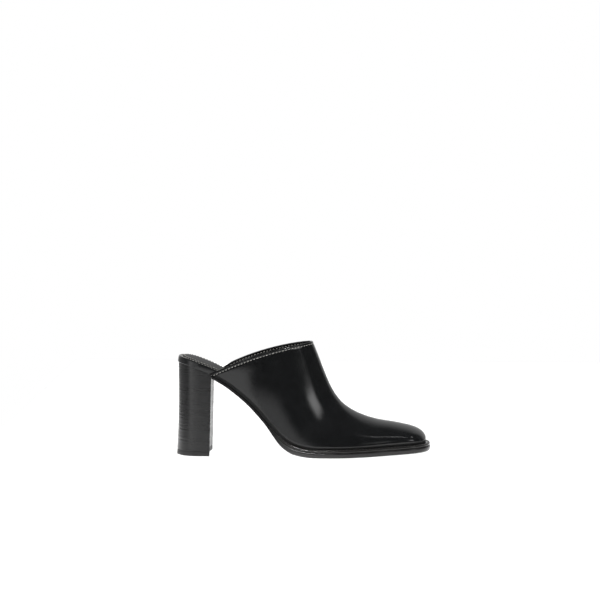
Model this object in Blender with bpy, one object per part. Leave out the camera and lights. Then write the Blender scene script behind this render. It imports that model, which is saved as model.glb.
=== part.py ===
"""A block-heel mule for the right foot, built as separate closed solids.

Metres, +Z up. The toe points along +X, the outer side of the foot is -Y, and the shoe stands on z = 0.
Inside the script x runs from the back of the heel to the tip of the sole. One empty, which carries every
piece, then puts the middle of the shoe over the origin.
"""

import bmesh
import bpy
import numpy as np

# Lengths and heights
LENGTH = 0.2330  # back of the heel to the tip of the sole
HEEL_HEIGHT = 0.0850  # floor to the top of the heel, at its back
THROAT_HEIGHT = 0.1040  # floor to the top of the instep
THROAT_REACH = 0.1243  # back of the heel to the top of the instep
TOE_HEIGHT = 0.0183  # height of the toe box above the welt
TOE_SPRING = 0.0044  # lift of the sole's tip

# Widths of the insole, which is the last's own outline
SEAT_WIDTH = 0.0536
WAIST_WIDTH = 0.0440
BALL_WIDTH = 0.0692
TOE_WIDTH = 0.0480
TOE_SWING = 0.0040  # how far the toe's middle lies towards the inner side

# Thicknesses
WALL = 0.0018  # upper leather with its lining
SOLE = 0.0072  # welt and outsole together, under the ball
WELT = 0.0021
WELT_EDGE = 0.0009  # the welt's thin rear end
SHANK = 0.0027  # outsole under the arch
SEAT_BOARD = 0.0058  # wrapped insole at the heel seat
FORE_BOARD = 0.0034  # wrapped insole under the toes
SOCK = 0.0006
TOP_LIFT = 0.0048

# Steps between one piece's edge and the next
WELT_MARGIN = 0.0028  # the sole's edge beyond the widest part of the upper
TUCK = 0.0010  # how far the upper is drawn in at its lower edge
SOLE_BEVEL = 0.0016  # how far the tread lies inside the sole's edge
EDGE_ROUND = 0.0010  # of the insole and the sock
SOCK_MARGIN = 0.0034
HEEL_INSET = 0.0009  # heel's side inside the wrapped insole's
CLEARANCE = 0.0003

# Heel block
HEEL_LENGTH = 0.0322  # along the top, back to breast
HEEL_FOOT_LENGTH = 0.0312  # along the floor
HEEL_FOOT_WIDTH = 0.0548  # at the breast
HEEL_FOOT_TAPER = 0.0019  # how much narrower it is towards the back
HEEL_BACK_RAKE = 0.0013  # how far the heel's top back edge lies ahead of its foot
HEEL_BACK_HOLLOW = 0.0009
BREAST_HOLLOW = 0.0017
WING_OVERLAP = 0.0026  # the upper's outer tip behind the heel's breast
INNER_LAG = 0.0040  # the upper's inner tip ahead of its outer one

# Rounded ends of the outline: how long they are, and the power of their curve, where 2 is an ellipse
SEAT_ROUND = 0.0205
SEAT_CURVE = 2.2
TOE_ROUND = 0.0200
TOE_CURVE = 2.8
NOSE_LENGTH = 0.0280
NOSE_CURVE = 2.25

# Places along the sole
BALL_BACK = 0.1310  # where the shank's curve meets the flat tread
SPRING_START = 0.1500
SPRING_CURVE = 1.5
SWELL_START = 0.0820  # where the sole starts to thicken from shank to ball
SWELL_END = 0.1110
WELT_START = 0.0860
WELT_FULL = 0.1150  # where the welt has its full margin

# The top of the sole from heel to ball: place along the curve, share of the heel's rise
LAST_CURVE = (
    (0.000, 1.000),
    (0.080, 0.970),
    (0.155, 0.926),
    (0.240, 0.867),
    (0.345, 0.768),
    (0.445, 0.640),
    (0.535, 0.503),
    (0.610, 0.366),
    (0.672, 0.246),
    (0.726, 0.150),
    (0.782, 0.079),
    (0.845, 0.034),
    (0.925, 0.007),
    (1.000, 0.000),
)

# The insole's outline: reach, size that it follows, outer and inner half width, swing
OUTLINE = (
    (0.000, SEAT_WIDTH, 0.488, 0.488, 0.00),
    (0.070, SEAT_WIDTH, 0.498, 0.498, 0.00),
    (0.120, SEAT_WIDTH, 0.498, 0.494, 0.00),
    (0.165, SEAT_WIDTH, 0.476, 0.466, 0.00),
    (0.215, WAIST_WIDTH, 0.536, 0.512, 0.00),
    (0.270, WAIST_WIDTH, 0.518, 0.474, 0.00),
    (0.325, WAIST_WIDTH, 0.540, 0.474, 0.00),
    (0.385, BALL_WIDTH, 0.388, 0.334, 0.00),
    (0.450, BALL_WIDTH, 0.446, 0.390, 0.02),
    (0.515, BALL_WIDTH, 0.484, 0.442, 0.04),
    (0.580, BALL_WIDTH, 0.502, 0.480, 0.08),
    (0.645, BALL_WIDTH, 0.500, 0.497, 0.16),
    (0.710, BALL_WIDTH, 0.480, 0.490, 0.30),
    (0.775, BALL_WIDTH, 0.446, 0.460, 0.50),
    (0.840, BALL_WIDTH, 0.406, 0.418, 0.74),
    (0.900, TOE_WIDTH, 0.534, 0.542, 0.92),
    (0.950, TOE_WIDTH, 0.506, 0.512, 1.00),
    (1.000, TOE_WIDTH, 0.490, 0.496, 1.00),
)

# The instep's line: place from throat to toe, share of the instep's rise, share of the toe's height
RIDGE = (
    (0.000, 1.000, 1.00),
    (0.028, 0.910, 1.00),
    (0.072, 0.754, 1.00),
    (0.112, 0.613, 1.00),
    (0.156, 0.474, 1.00),
    (0.203, 0.367, 1.00),
    (0.249, 0.292, 1.00),
    (0.295, 0.240, 1.00),
    (0.340, 0.199, 1.00),
    (0.386, 0.165, 1.00),
    (0.438, 0.132, 1.00),
    (0.500, 0.100, 1.00),
    (0.590, 0.064, 1.00),
    (0.692, 0.034, 1.00),
    (0.795, 0.003, 1.00),
    (0.880, -0.004, 0.98),
    (1.000, 0.000, 0.94),
)

# The upper's sections, from the topline to the toe: place of the foot of the section along the sole, place of
# its crest along the instep, the crest's radius and the section's half width as shares of the ball width,
# the share of the tuck, and the share of the topline's bow
SECTIONS = (
    (0.000, 0.000, 0.246, 0.336, 0.00, 1.00),
    (0.070, 0.036, 0.249, 0.350, 0.10, 0.66),
    (0.137, 0.072, 0.257, 0.376, 0.30, 0.40),
    (0.203, 0.113, 0.266, 0.405, 0.55, 0.22),
    (0.269, 0.158, 0.277, 0.442, 0.80, 0.10),
    (0.340, 0.208, 0.296, 0.481, 1.00, 0.03),
    (0.411, 0.269, 0.321, 0.510, 1.00, 0.00),
    (0.493, 0.346, 0.354, 0.529, 1.00, 0.00),
    (0.584, 0.443, 0.397, 0.526, 1.00, 0.00),
    (0.670, 0.545, 0.448, 0.500, 1.00, 0.00),
    (0.752, 0.647, 0.506, 0.466, 1.00, 0.00),
    (0.823, 0.740, 0.578, 0.431, 1.00, 0.00),
    (0.886, 0.827, 0.679, 0.405, 1.00, 0.00),
    (0.943, 0.912, 0.760, 0.392, 1.00, 0.00),
    (1.000, 1.000, 0.800, 0.386, 1.00, 0.00),
)
TOPLINE_BOW = 0.0037
INNER_BOW = 0.0080  # how much faster the inner side's topline climbs from its tip
TUCK_HEIGHT = 0.0030
WIDTH_CURVE = 2.1  # how soon a section leaves the width of its foot

# Edge profiles from the underside up. The first two tables hold shares of the sole's bevel and of the layer's
# thickness, the last two shares of the edge's rounding and of the layer's height
OUTSOLE_EDGE = ((1.0, 0.0), (0.40, 0.16), (0.10, 0.45), (0.0, 0.75), (0.16, 1.0))
WELT_PROFILE = ((0.16, 0.0), (0.04, 0.25), (0.28, 0.60), (0.62, 0.85), (1.1, 1.0))
INSOLE_EDGE = ((0.6, 0.0), (0.2, 0.12), (0.0, 0.35), (0.0, 0.80), (0.2, 0.94), (0.7, 1.0))
SOCK_EDGE = ((0.0, 0.0), (0.0, 0.5), (0.4, 1.0))

# Fineness of the faceted solids
SEAT_STEPS = 8
SIDE_STEPS = 40
TOE_STEPS = 9
ACROSS = 7
HEEL_LEVELS = 6
UPPER_ROWS = 33
UPPER_HALF = 17
FINE = 160
SLOPE_STEP = 1e-4  # step over which the sole's slope is measured
MERGE = 2e-6  # points closer than this are one


def spline(knots, values, at, end_slope=None):
    """A cubic through the knots with no jump in curvature, free at its start and free or held at its end."""
    knots = np.asarray(knots, float)
    values = np.asarray(values, float)
    gap = np.diff(knots)
    rise = np.diff(values) / gap
    count = len(knots)
    system = np.zeros((count, count))
    target = np.zeros(count)
    inner = np.arange(1, count - 1)
    system[inner, inner - 1] = gap[:-1]
    system[inner, inner] = 2 * (gap[:-1] + gap[1:])
    system[inner, inner + 1] = gap[1:]
    target[1:-1] = 6 * np.diff(rise)
    system[0, 0] = 1
    system[-1, -1] = 1
    if end_slope is not None:
        system[-1, -2:] = gap[-1], 2 * gap[-1]
        target[-1] = 6 * (end_slope - rise[-1])
    bend = np.linalg.solve(system, target)
    at = np.clip(np.asarray(at, float), knots[0], knots[-1])
    k = np.clip(np.searchsorted(knots, at) - 1, 0, count - 2)
    step = at - knots[k]
    slope = rise[k] - gap[k] * (2 * bend[k] + bend[k + 1]) / 6
    return values[k] + step * (slope + step * (bend[k] / 2 + step * (bend[k + 1] - bend[k]) / (6 * gap[k])))


def column(table, number):
    return np.array([row[number] for row in table], float)


def smooth(share):
    share = np.clip(share, 0, 1)
    return share * share * (3 - 2 * share)


def rounded(share, power):
    """Half width of a superellipse's end, from 1 at share 0 to 0 at share 1."""
    share = np.where(share > 1 - 1e-9, 1.0, np.clip(share, 0, 1))
    return (1 - share**power) ** (1 / power)


def around_end(steps, power):
    """Shares along a rounded end that keep its outline evenly divided."""
    return np.sin(np.linspace(0, np.pi / 2, steps)) ** (2 / power)


INSOLE_BACK = HEEL_BACK_RAKE - HEEL_INSET
TIP_LEAN = SPRING_CURVE * TOE_SPRING / (LENGTH - SPRING_START) * SOLE / 2  # of the sprung sole's square edge
INSOLE_TIP = LENGTH - TIP_LEAN - WELT_MARGIN - TUCK - WALL - CLEARANCE
HEEL_FRONT = HEEL_BACK_RAKE + HEEL_LENGTH
WING_X = HEEL_FRONT - WING_OVERLAP
UPPER_TIP = INSOLE_TIP + CLEARANCE + WALL


def sole_top(x):
    """Height of the surface that upper and insole are lasted onto."""
    share = np.clip(x / BALL_BACK, 0, 1)
    rise = spline(column(LAST_CURVE, 0), column(LAST_CURVE, 1), share, end_slope=0.0)
    spring = np.clip((x - SPRING_START) / (LENGTH - SPRING_START), 0, None) ** SPRING_CURVE
    return SOLE + (HEEL_HEIGHT - SOLE) * rise + TOE_SPRING * spring


def sole_normal(x):
    """The unit normal of that surface in the side view, as its x and z parts."""
    slope = (sole_top(x + SLOPE_STEP) - sole_top(x - SLOPE_STEP)) / (2 * SLOPE_STEP)
    length = np.sqrt(1 + slope * slope)
    return -slope / length, 1 / length


def above_sole(plan, lift):
    """Points of a plan (..., 2) set on the sole's top, lifted along its normal."""
    x, y = plan[..., 0], plan[..., 1]
    across, up = sole_normal(x)
    return np.stack([x + lift * across, y, sole_top(x) + lift * up], axis=-1)


def outline_at(x):
    """Swing and the outer and inner half widths of the insole at x, before its ends are rounded."""
    reach = column(OUTLINE, 0)
    share = x / INSOLE_TIP
    size = column(OUTLINE, 1)
    outer = spline(reach, size * column(OUTLINE, 2), share)
    inner = spline(reach, size * column(OUTLINE, 3), share)
    swing = TOE_SWING * spline(reach, column(OUTLINE, 4), share)
    return swing, outer, inner


def insole_stations(start):
    """x values from start to the insole's tip, close together round the ends."""
    toe = INSOLE_TIP - TOE_ROUND + TOE_ROUND * around_end(TOE_STEPS, TOE_CURVE)
    if start > INSOLE_BACK:
        return np.concatenate([np.linspace(start, toe[0], SIDE_STEPS)[:-1], toe])
    seat = INSOLE_BACK + SEAT_ROUND * (1 - around_end(SEAT_STEPS, SEAT_CURVE)[::-1])
    return np.concatenate([seat[:-1], np.linspace(seat[-1], toe[0], SIDE_STEPS)[:-1], toe])


def insole_sides(x):
    """Outer and inner edge points of the insole, with its seat and toe rounded."""
    swing, outer, inner = outline_at(x)
    cap = rounded((INSOLE_BACK + SEAT_ROUND - x) / SEAT_ROUND, SEAT_CURVE)
    cap = cap * rounded((x - INSOLE_TIP + TOE_ROUND) / TOE_ROUND, TOE_CURVE)
    return np.stack([x, swing - outer * cap], axis=-1), np.stack([x, swing + inner * cap], axis=-1)


def grown(outer, inner, grow):
    """Both edges moved outwards along their own normals, by one length or by one for each point."""
    loop = np.concatenate([outer, inner[::-1]])
    grow = np.broadcast_to(grow, len(outer))
    amount = np.concatenate([grow, grow[::-1]])[:, None]
    open_back = not np.allclose(outer[0], inner[0])
    ahead = np.roll(loop, -1, axis=0)
    behind = np.roll(loop, 1, axis=0)
    tip = len(outer) - 1
    ahead[tip] = loop[tip + 2]
    behind[tip + 1] = loop[tip - 1]
    if open_back:
        behind[0] = loop[0]
        ahead[-1] = loop[-1]
    else:
        behind[0] = loop[-2]
        ahead[-1] = loop[1]
    along = ahead - behind
    along /= np.linalg.norm(along, axis=1)[:, None]
    moved = loop + amount * np.stack([along[:, 1], -along[:, 0]], axis=-1)
    if open_back:
        moved[0, 0] = outer[0, 0]
        moved[-1, 0] = inner[0, 0]
    return moved[: len(outer)], moved[len(outer) :][::-1]


def plan_grid(outer, inner, back_hollow=0.0, front_hollow=0.0):
    """A grid of plan points between two edges. The ends can be bowed back by a hollow of the given depth."""
    across = np.linspace(0, 1, ACROSS)[None, :, None]
    grid = outer[:, None, :] * (1 - across) + inner[:, None, :] * across
    bow = 1 - (2 * across[..., 0] - 1) ** 2
    along = np.linspace(0, 1, len(outer))[:, None]
    grid[..., 0] -= bow * (back_hollow * (1 - along) ** 6 + front_hollow * along ** 3)
    return grid


def rim_of(rows, columns):
    """Indices of a grid's edge in order, as (row, column) arrays."""
    i = [*range(rows), *[rows - 1] * (columns - 2), *range(rows - 1, -1, -1), *[0] * (columns - 2)]
    j = [*[0] * rows, *range(1, columns - 1), *[columns - 1] * rows, *range(columns - 2, 0, -1)]
    return np.array(i), np.array(j)


def grid_faces(rows, columns, start, turned=False):
    """Quads of a grid whose points are numbered row by row from start."""
    first = (start + np.arange(rows - 1)[:, None] * columns + np.arange(columns - 1)[None, :]).ravel()
    quads = np.stack([first, first + 1, first + columns + 1, first + columns], axis=1)
    return quads[:, ::-1].tolist() if turned else quads.tolist()


def stacked(levels):
    """Points and faces of the solid whose underside, rims and top are these grids (rows, columns, 3)."""
    rows, columns = levels[0].shape[:2]
    i, j = rim_of(rows, columns)
    size = rows * columns
    points = [levels[0].reshape(-1, 3), levels[-1].reshape(-1, 3)]
    faces = grid_faces(rows, columns, 0) + grid_faces(rows, columns, size, turned=True)
    rings = [i * columns + j]
    start = 2 * size
    for level in levels[1:-1]:
        points.append(level[i, j])
        rings.append(start + np.arange(len(i)))
        start += len(i)
    rings.append(size + i * columns + j)
    for below, above in zip(rings, rings[1:]):
        quads = np.stack([below, above, np.roll(above, -1), np.roll(below, -1)], axis=1)
        faces += quads.tolist()
    return np.concatenate(points), faces


def make_material(name, colour, roughness):
    material = bpy.data.materials.new(name)
    material.use_nodes = True
    shader = material.node_tree.nodes["Principled BSDF"]
    shader.inputs["Base Color"].default_value = (*colour, 1)
    shader.inputs["Roughness"].default_value = roughness
    shader.inputs["Metallic"].default_value = 0.0
    material.diffuse_color = (*colour, 1)
    return material


def add_piece(name, points, faces, material, carrier):
    """A closed mesh object. Points that fall together, as at a rounded end's tip, are made one."""
    mesh = bpy.data.meshes.new(name)
    mesh.from_pydata(np.asarray(points).tolist(), [], faces)
    shape = bmesh.new()
    shape.from_mesh(mesh)
    bmesh.ops.remove_doubles(shape, verts=shape.verts, dist=MERGE)
    bmesh.ops.dissolve_degenerate(shape, edges=shape.edges, dist=MERGE / 2)
    bmesh.ops.recalc_face_normals(shape, faces=shape.faces)
    shape.to_mesh(mesh)
    shape.free()
    mesh.shade_smooth()
    mesh.set_sharp_from_angle(angle=np.radians(35))
    mesh.materials.append(material)
    piece = bpy.data.objects.new(name, mesh)
    bpy.data.collections[COLLECTION].objects.link(piece)
    piece.parent = carrier
    return piece


def sole_thickness(x):
    """Welt and outsole together, thin under the arch and full under the ball."""
    return SHANK + (SOLE - SHANK) * smooth((x - SWELL_START) / (SWELL_END - SWELL_START))


def welt_thickness(x):
    return WELT_EDGE + (WELT - WELT_EDGE) * smooth((x - WELT_START) / (SWELL_END - WELT_START))


def sole_sides(x, inset):
    """Edges of the sole, which grows out from under the upper towards the ball, moved in by an inset."""
    outer, inner = insole_sides(x)
    full = WELT_MARGIN + TUCK
    shown = smooth((x - SWELL_START) / (WELT_FULL - SWELL_START))
    lasted = CLEARANCE + WALL
    undercut = SHANK / 2 * np.minimum(1, inset / SOLE_BEVEL)
    return grown(outer, inner, lasted + (full - inset) * shown - undercut * (1 - shown))


def outsole_levels(x):
    """The outsole from its tread, set in by the bevel, over its rounded edge to its top."""
    under_welt = np.where(x > WELT_START - 2.5 * CLEARANCE, welt_thickness(x) + CLEARANCE, 0.0)
    bottom = -sole_thickness(x)
    for bevel, share in OUTSOLE_EDGE:
        outer, inner = sole_sides(x, SOLE_BEVEL * bevel)
        lift = bottom + share * (-under_welt - bottom)
        yield above_sole(plan_grid(outer, inner, back_hollow=BREAST_HOLLOW), lift[:, None])


def make_outsole(material, carrier):
    x = insole_stations(HEEL_FRONT + SHANK * sole_normal(HEEL_FRONT)[0] - CLEARANCE)
    step = [WELT_START - 3 * CLEARANCE, WELT_START - 2 * CLEARANCE]
    x = np.sort(np.concatenate([x[np.abs(x - WELT_START) > 6 * CLEARANCE], step, [WELT_START + CLEARANCE]]))
    return add_piece("outsole", *stacked(list(outsole_levels(x))), material, carrier)


def make_welt(material, carrier):
    """The welt lies on the outsole from the back of the ball round the toe, and its edge slopes inwards."""
    x = insole_stations(WELT_START)
    levels = []
    for bevel, share in WELT_PROFILE:
        outer, inner = sole_sides(x, SOLE_BEVEL * bevel)
        lift = -welt_thickness(x) * (1 - share)
        levels.append(above_sole(plan_grid(outer, inner), lift[:, None]))
    return add_piece("welt", *stacked(levels), material, carrier)


def board_thickness(x):
    """The wrapped insole thins from its seat to its forepart."""
    share = smooth((x - HEEL_FRONT) / (BALL_BACK - HEEL_FRONT))
    return SEAT_BOARD + (FORE_BOARD - SEAT_BOARD) * share


def make_insole(material, carrier):
    x = insole_stations(INSOLE_BACK)
    edges = insole_sides(x)
    levels = []
    for rounding, share in INSOLE_EDGE:
        outer, inner = grown(*edges, -EDGE_ROUND * rounding)
        lift = CLEARANCE + share * board_thickness(x)
        levels.append(above_sole(plan_grid(outer, inner), lift[:, None]))
    return add_piece("insole", *stacked(levels), material, carrier)


def make_sock(material, carrier):
    """The sock lies on the insole, inside its stitched edge."""
    x = insole_stations(INSOLE_BACK)
    edges = insole_sides(x)
    levels = []
    for rounding, share in SOCK_EDGE:
        outer, inner = grown(*edges, -SOCK_MARGIN - EDGE_ROUND * rounding)
        lift = 2 * CLEARANCE + board_thickness(x) + share * SOCK
        levels.append(above_sole(plan_grid(outer, inner), lift[:, None]))
    return add_piece("sock", *stacked(levels), material, carrier)


def heel_stations():
    """Shares of the heel's length, close together round its back."""
    seat = SEAT_ROUND / HEEL_LENGTH
    back = seat * (1 - around_end(SEAT_STEPS, SEAT_CURVE)[::-1])
    return np.concatenate([back[:-1], np.linspace(back[-1], 1, 5)])


def heel_plan(share):
    """The heel's plan at a share of its height, from the floor at 0 to the seat at 1."""
    along = heel_stations()
    top_x = INSOLE_BACK + (HEEL_LENGTH + HEEL_INSET) * along
    outer, inner = grown(*insole_sides(top_x), -HEEL_INSET)
    outer[0, 0] = inner[0, 0] = HEEL_BACK_RAKE
    foot_x = HEEL_FOOT_LENGTH * along
    cap = rounded((SEAT_ROUND - foot_x) / SEAT_ROUND, SEAT_CURVE)
    half = (HEEL_FOOT_WIDTH - HEEL_FOOT_TAPER * (1 - along)) / 2 * cap
    hollow = 4 * share * (1 - share) * HEEL_BACK_HOLLOW * (1 - along)
    sides = []
    for top, side in ((outer, -1), (inner, 1)):
        foot = np.stack([foot_x, side * half], axis=-1)
        edge = foot * (1 - share) + top * share
        edge[:, 0] += hollow
        sides.append(edge)
    return plan_grid(*sides, front_hollow=BREAST_HOLLOW)


def heel_level(share, floor):
    """The heel's grid at a share of its height above floor. The top one follows the seat's curve."""
    plan = heel_plan(share)
    top = sole_top(heel_plan(1.0)[..., 0])
    height = floor * (1 - share) + top * share
    return np.concatenate([plan, height[..., None]], axis=-1)


def make_heel(material, carrier):
    floor = TOP_LIFT + CLEARANCE
    start = floor / HEEL_HEIGHT
    levels = []
    for share in np.linspace(0, 1, HEEL_LEVELS):
        level = heel_level(share, floor)
        level[..., :2] = heel_plan(start + share * (1 - start))
        levels.append(level)
    return add_piece("heel", *stacked(levels), material, carrier)


def make_top_lift(material, carrier):
    """The wearing piece under the heel, flat on the floor."""
    levels = []
    for share in (0.0, 1.0):
        plan = heel_plan(share * TOP_LIFT / HEEL_HEIGHT)
        height = np.full(plan.shape[:2], share * TOP_LIFT)
        levels.append(np.concatenate([plan, height[..., None]], axis=-1))
    return add_piece("top_lift", *stacked(levels), material, carrier)


def crest_line(share):
    """The instep's line in the side view, from the throat at 0 to the toe at 1, as x and z."""
    x = THROAT_REACH + share * (UPPER_TIP - THROAT_REACH)
    toe = TOE_HEIGHT * spline(column(RIDGE, 0), column(RIDGE, 2), share)
    instep = THROAT_HEIGHT - sole_top(THROAT_REACH) - TOE_HEIGHT
    rise = toe + instep * spline(column(RIDGE, 0), column(RIDGE, 1), share)
    nose = rounded((x - UPPER_TIP + NOSE_LENGTH) / NOSE_LENGTH, NOSE_CURVE)
    return x, sole_top(x) + CLEARANCE + rise * nose


def upper_rows(count):
    """Places of the sections along the sole, evenly spaced and then closing round the toe."""
    toe = 1 - TOE_ROUND / (UPPER_TIP - WING_X)
    round_toe = count // 3
    nose = toe + (1 - toe) * around_end(round_toe, TOE_CURVE)
    return np.concatenate([np.linspace(0, toe, count - round_toe + 1)[:-1], nose])


def half_section(foot, side, steps):
    """One side of every section, from the sole to the crest: an array (rows, steps, 3).

    A section stands on the sole's edge and leans with the instep. At a share h of its height its half width
    is that of its envelope times sqrt(1 - h ** p), where p gives the crest its radius.
    """
    place, *rest = (column(SECTIONS, number) for number in range(6))
    crest_at, radius, width, tuck, bow = (spline(place, values, foot)[:, None] for values in rest)
    foot_x = WING_X + foot * (UPPER_TIP - WING_X)
    if side > 0:
        foot_x = foot_x + INNER_LAG * np.clip(bow[:, 0], 0, 1)
    crest_x, crest_z = crest_line(np.clip(crest_at, 0, 1))
    across, up = sole_normal(foot_x)
    base_x = (foot_x + CLEARANCE * across)[:, None]
    base_z = (sole_top(foot_x) + CLEARANCE * up)[:, None]
    height = np.hypot(crest_x - base_x, crest_z - base_z)
    edge_x = insole_stations(INSOLE_BACK)
    edges = grown(*insole_sides(edge_x), CLEARANCE + WALL)[0 if side < 0 else 1]
    swing = outline_at(foot_x)[0]
    base_half = np.abs(np.interp(foot_x, edges[:, 0], edges[:, 1]) - swing)[:, None]
    cap = rounded((foot_x - UPPER_TIP + TOE_ROUND) / TOE_ROUND, TOE_CURVE)[:, None]
    top_half = width * BALL_WIDTH * cap
    power = np.clip(2 * radius * BALL_WIDTH * height / np.maximum(width * BALL_WIDTH, 1e-6) ** 2, 1.3, 8)
    angle = np.linspace(np.pi / 2, 0, FINE)[None, :]
    share = np.cos(angle) ** (2 / power)
    half = (top_half + (base_half - top_half) * (1 - share) ** WIDTH_CURVE) * np.sin(angle)
    x = base_x + (crest_x - base_x) * share
    z = base_z + (crest_z - base_z) * share + 4 * TOPLINE_BOW * bow * share * (1 - share)
    if side > 0:
        z = z + INNER_BOW * bow * np.sqrt(share) * (1 - share) ** 1.5
    y = outline_at(np.minimum(x, INSOLE_TIP))[0] + side * half
    drawn_in = 1 - np.exp(-((share * height / TUCK_HEIGHT) ** 1.5))
    points = np.stack([x, y, z], axis=-1)
    length = np.cumsum(np.linalg.norm(np.diff(points, axis=1), axis=-1), axis=1)
    length = np.concatenate([np.zeros((len(foot), 1)), length], axis=1)
    even = np.linspace(0, 1, steps)
    picked = np.empty((len(foot), steps, 4))
    full = np.concatenate([points, (TUCK * tuck * drawn_in)[..., None]], axis=-1)
    for row in range(len(foot)):
        total = max(length[row, -1], 1e-12)
        for number in range(4):
            picked[row, :, number] = np.interp(even, length[row] / total, full[row, :, number])
    picked[-1] = picked[-1, 0]  # the last section is the toe's tip, one point
    return picked


def grid_normals(points):
    """Unit normals of a grid that point out of the shoe. The last row is the toe's tip, and faces ahead."""
    along = np.gradient(points, axis=0)
    around = np.gradient(points, axis=1)
    normal = np.cross(along, around)
    length = np.linalg.norm(normal, axis=-1, keepdims=True)
    normal = normal / np.maximum(length, 1e-15)
    normal[-1] = (1, 0, 0)
    return normal


def upper_surfaces(rows, steps):
    """The upper's outer and inner surfaces as grids (rows, 2 * steps - 1, 3), outer side to inner side."""
    foot = upper_rows(rows)
    outer_half = half_section(foot, -1, steps)
    inner_half = half_section(foot, 1, steps)
    whole = np.concatenate([outer_half, inner_half[:, -2::-1]], axis=1)
    points, bulge = whole[..., :3], whole[..., 3:]
    level = grid_normals(points)
    level[..., 2] = 0
    outside = points + bulge * level
    normal = grid_normals(outside)
    rise = np.linalg.norm(outside - outside[:, :1], axis=-1)
    rise = np.minimum(rise, np.linalg.norm(outside - outside[:, -1:], axis=-1))
    upright = np.exp(-((rise / (2 * TUCK_HEIGHT)) ** 2))
    across, up = sole_normal(WING_X + foot * (UPPER_TIP - WING_X))
    leaning = normal[..., 0] * across[:, None] + normal[..., 2] * up[:, None]
    normal[..., 0] -= upright * leaning * across[:, None]
    normal[..., 2] -= upright * leaning * up[:, None]
    normal /= np.linalg.norm(normal, axis=-1, keepdims=True)
    return outside, outside - WALL * normal


def make_upper(material, carrier):
    """The upper is one wall between its two surfaces, open at the topline and underneath."""
    outside, inside = upper_surfaces(UPPER_ROWS, UPPER_HALF)
    points, faces = stacked([inside, outside])
    return add_piece("upper", points, faces, material, carrier)


COLLECTION = "mule_shoe"
BLACK_LEATHER = (0.012, 0.012, 0.013)
STACKED_LEATHER = (0.020, 0.019, 0.019)
EDGE_INK = (0.016, 0.016, 0.017)
BLACK_RUBBER = (0.022, 0.022, 0.022)


def clear_scene():
    for old in list(bpy.data.objects):
        bpy.data.objects.remove(old)
    bpy.context.scene.collection.children.link(bpy.data.collections.new(COLLECTION))


def add_carrier():
    """The empty that puts the middle of the shoe's plan over the origin."""
    outer, inner = sole_sides(insole_stations(WELT_START), 0.0)
    carrier = bpy.data.objects.new("mule_origin", None)
    carrier.location = (-LENGTH / 2, -(outer[:, 1].min() + inner[:, 1].max()) / 2, 0)
    bpy.data.collections[COLLECTION].objects.link(carrier)
    return carrier


def main():
    clear_scene()
    carrier = add_carrier()
    calf = make_material("smooth_calf", BLACK_LEATHER, 0.22)
    stack = make_material("stacked_leather", STACKED_LEATHER, 0.38)
    inked = make_material("inked_sole_edge", EDGE_INK, 0.30)
    rubber = make_material("rubber", BLACK_RUBBER, 0.55)
    lining = make_material("lining_leather", BLACK_LEATHER, 0.40)
    make_outsole(inked, carrier)
    make_welt(inked, carrier)
    make_heel(stack, carrier)
    make_top_lift(rubber, carrier)
    make_insole(calf, carrier)
    make_sock(lining, carrier)
    make_upper(calf, carrier)


main()
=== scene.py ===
"""A black calf mule with a block heel, for the right foot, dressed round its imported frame.

Lengths are metres. Forms are worked out in the shoe's own coordinates: x from the back of the heel to the tip
of the sole, y from the middle of the heel to the inner side, z from the floor. The last step of each piece
moves it into the frame.
"""

import bmesh
import bpy
import numpy as np
from bpy.props import FloatProperty, PointerProperty, StringProperty
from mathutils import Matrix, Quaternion, Vector


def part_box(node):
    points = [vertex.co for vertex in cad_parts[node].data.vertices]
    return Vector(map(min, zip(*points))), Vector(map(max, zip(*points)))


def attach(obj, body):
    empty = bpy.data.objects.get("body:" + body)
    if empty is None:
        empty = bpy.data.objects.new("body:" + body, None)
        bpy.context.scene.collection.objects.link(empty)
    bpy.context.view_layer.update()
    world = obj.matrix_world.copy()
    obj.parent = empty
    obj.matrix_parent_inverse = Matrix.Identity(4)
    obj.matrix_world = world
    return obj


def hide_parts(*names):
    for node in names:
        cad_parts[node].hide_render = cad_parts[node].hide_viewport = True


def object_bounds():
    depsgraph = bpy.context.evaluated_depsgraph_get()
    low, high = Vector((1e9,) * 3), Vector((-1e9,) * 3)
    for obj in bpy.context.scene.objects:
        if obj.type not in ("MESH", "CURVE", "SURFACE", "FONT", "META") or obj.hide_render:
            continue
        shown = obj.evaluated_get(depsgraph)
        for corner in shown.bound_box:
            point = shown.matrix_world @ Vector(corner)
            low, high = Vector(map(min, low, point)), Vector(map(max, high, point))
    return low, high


bl_info = {
    "name": "Block-Heel Mule",
    "version": (1, 0, 0),
    "blender": (4, 5, 0),
    "location": "3D Viewport > Sidebar > Mule",
    "description": "Builds a black calf mule with a stacked heel round its frame",
    "category": "Add Mesh",
}

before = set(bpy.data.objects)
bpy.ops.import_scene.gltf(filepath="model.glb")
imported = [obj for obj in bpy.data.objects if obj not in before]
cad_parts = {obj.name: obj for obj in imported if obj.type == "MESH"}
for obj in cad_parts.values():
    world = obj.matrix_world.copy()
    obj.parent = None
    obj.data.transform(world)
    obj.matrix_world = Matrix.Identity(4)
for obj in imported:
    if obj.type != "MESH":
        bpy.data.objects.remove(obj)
CAD_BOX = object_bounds()
BODY = "root"

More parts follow.
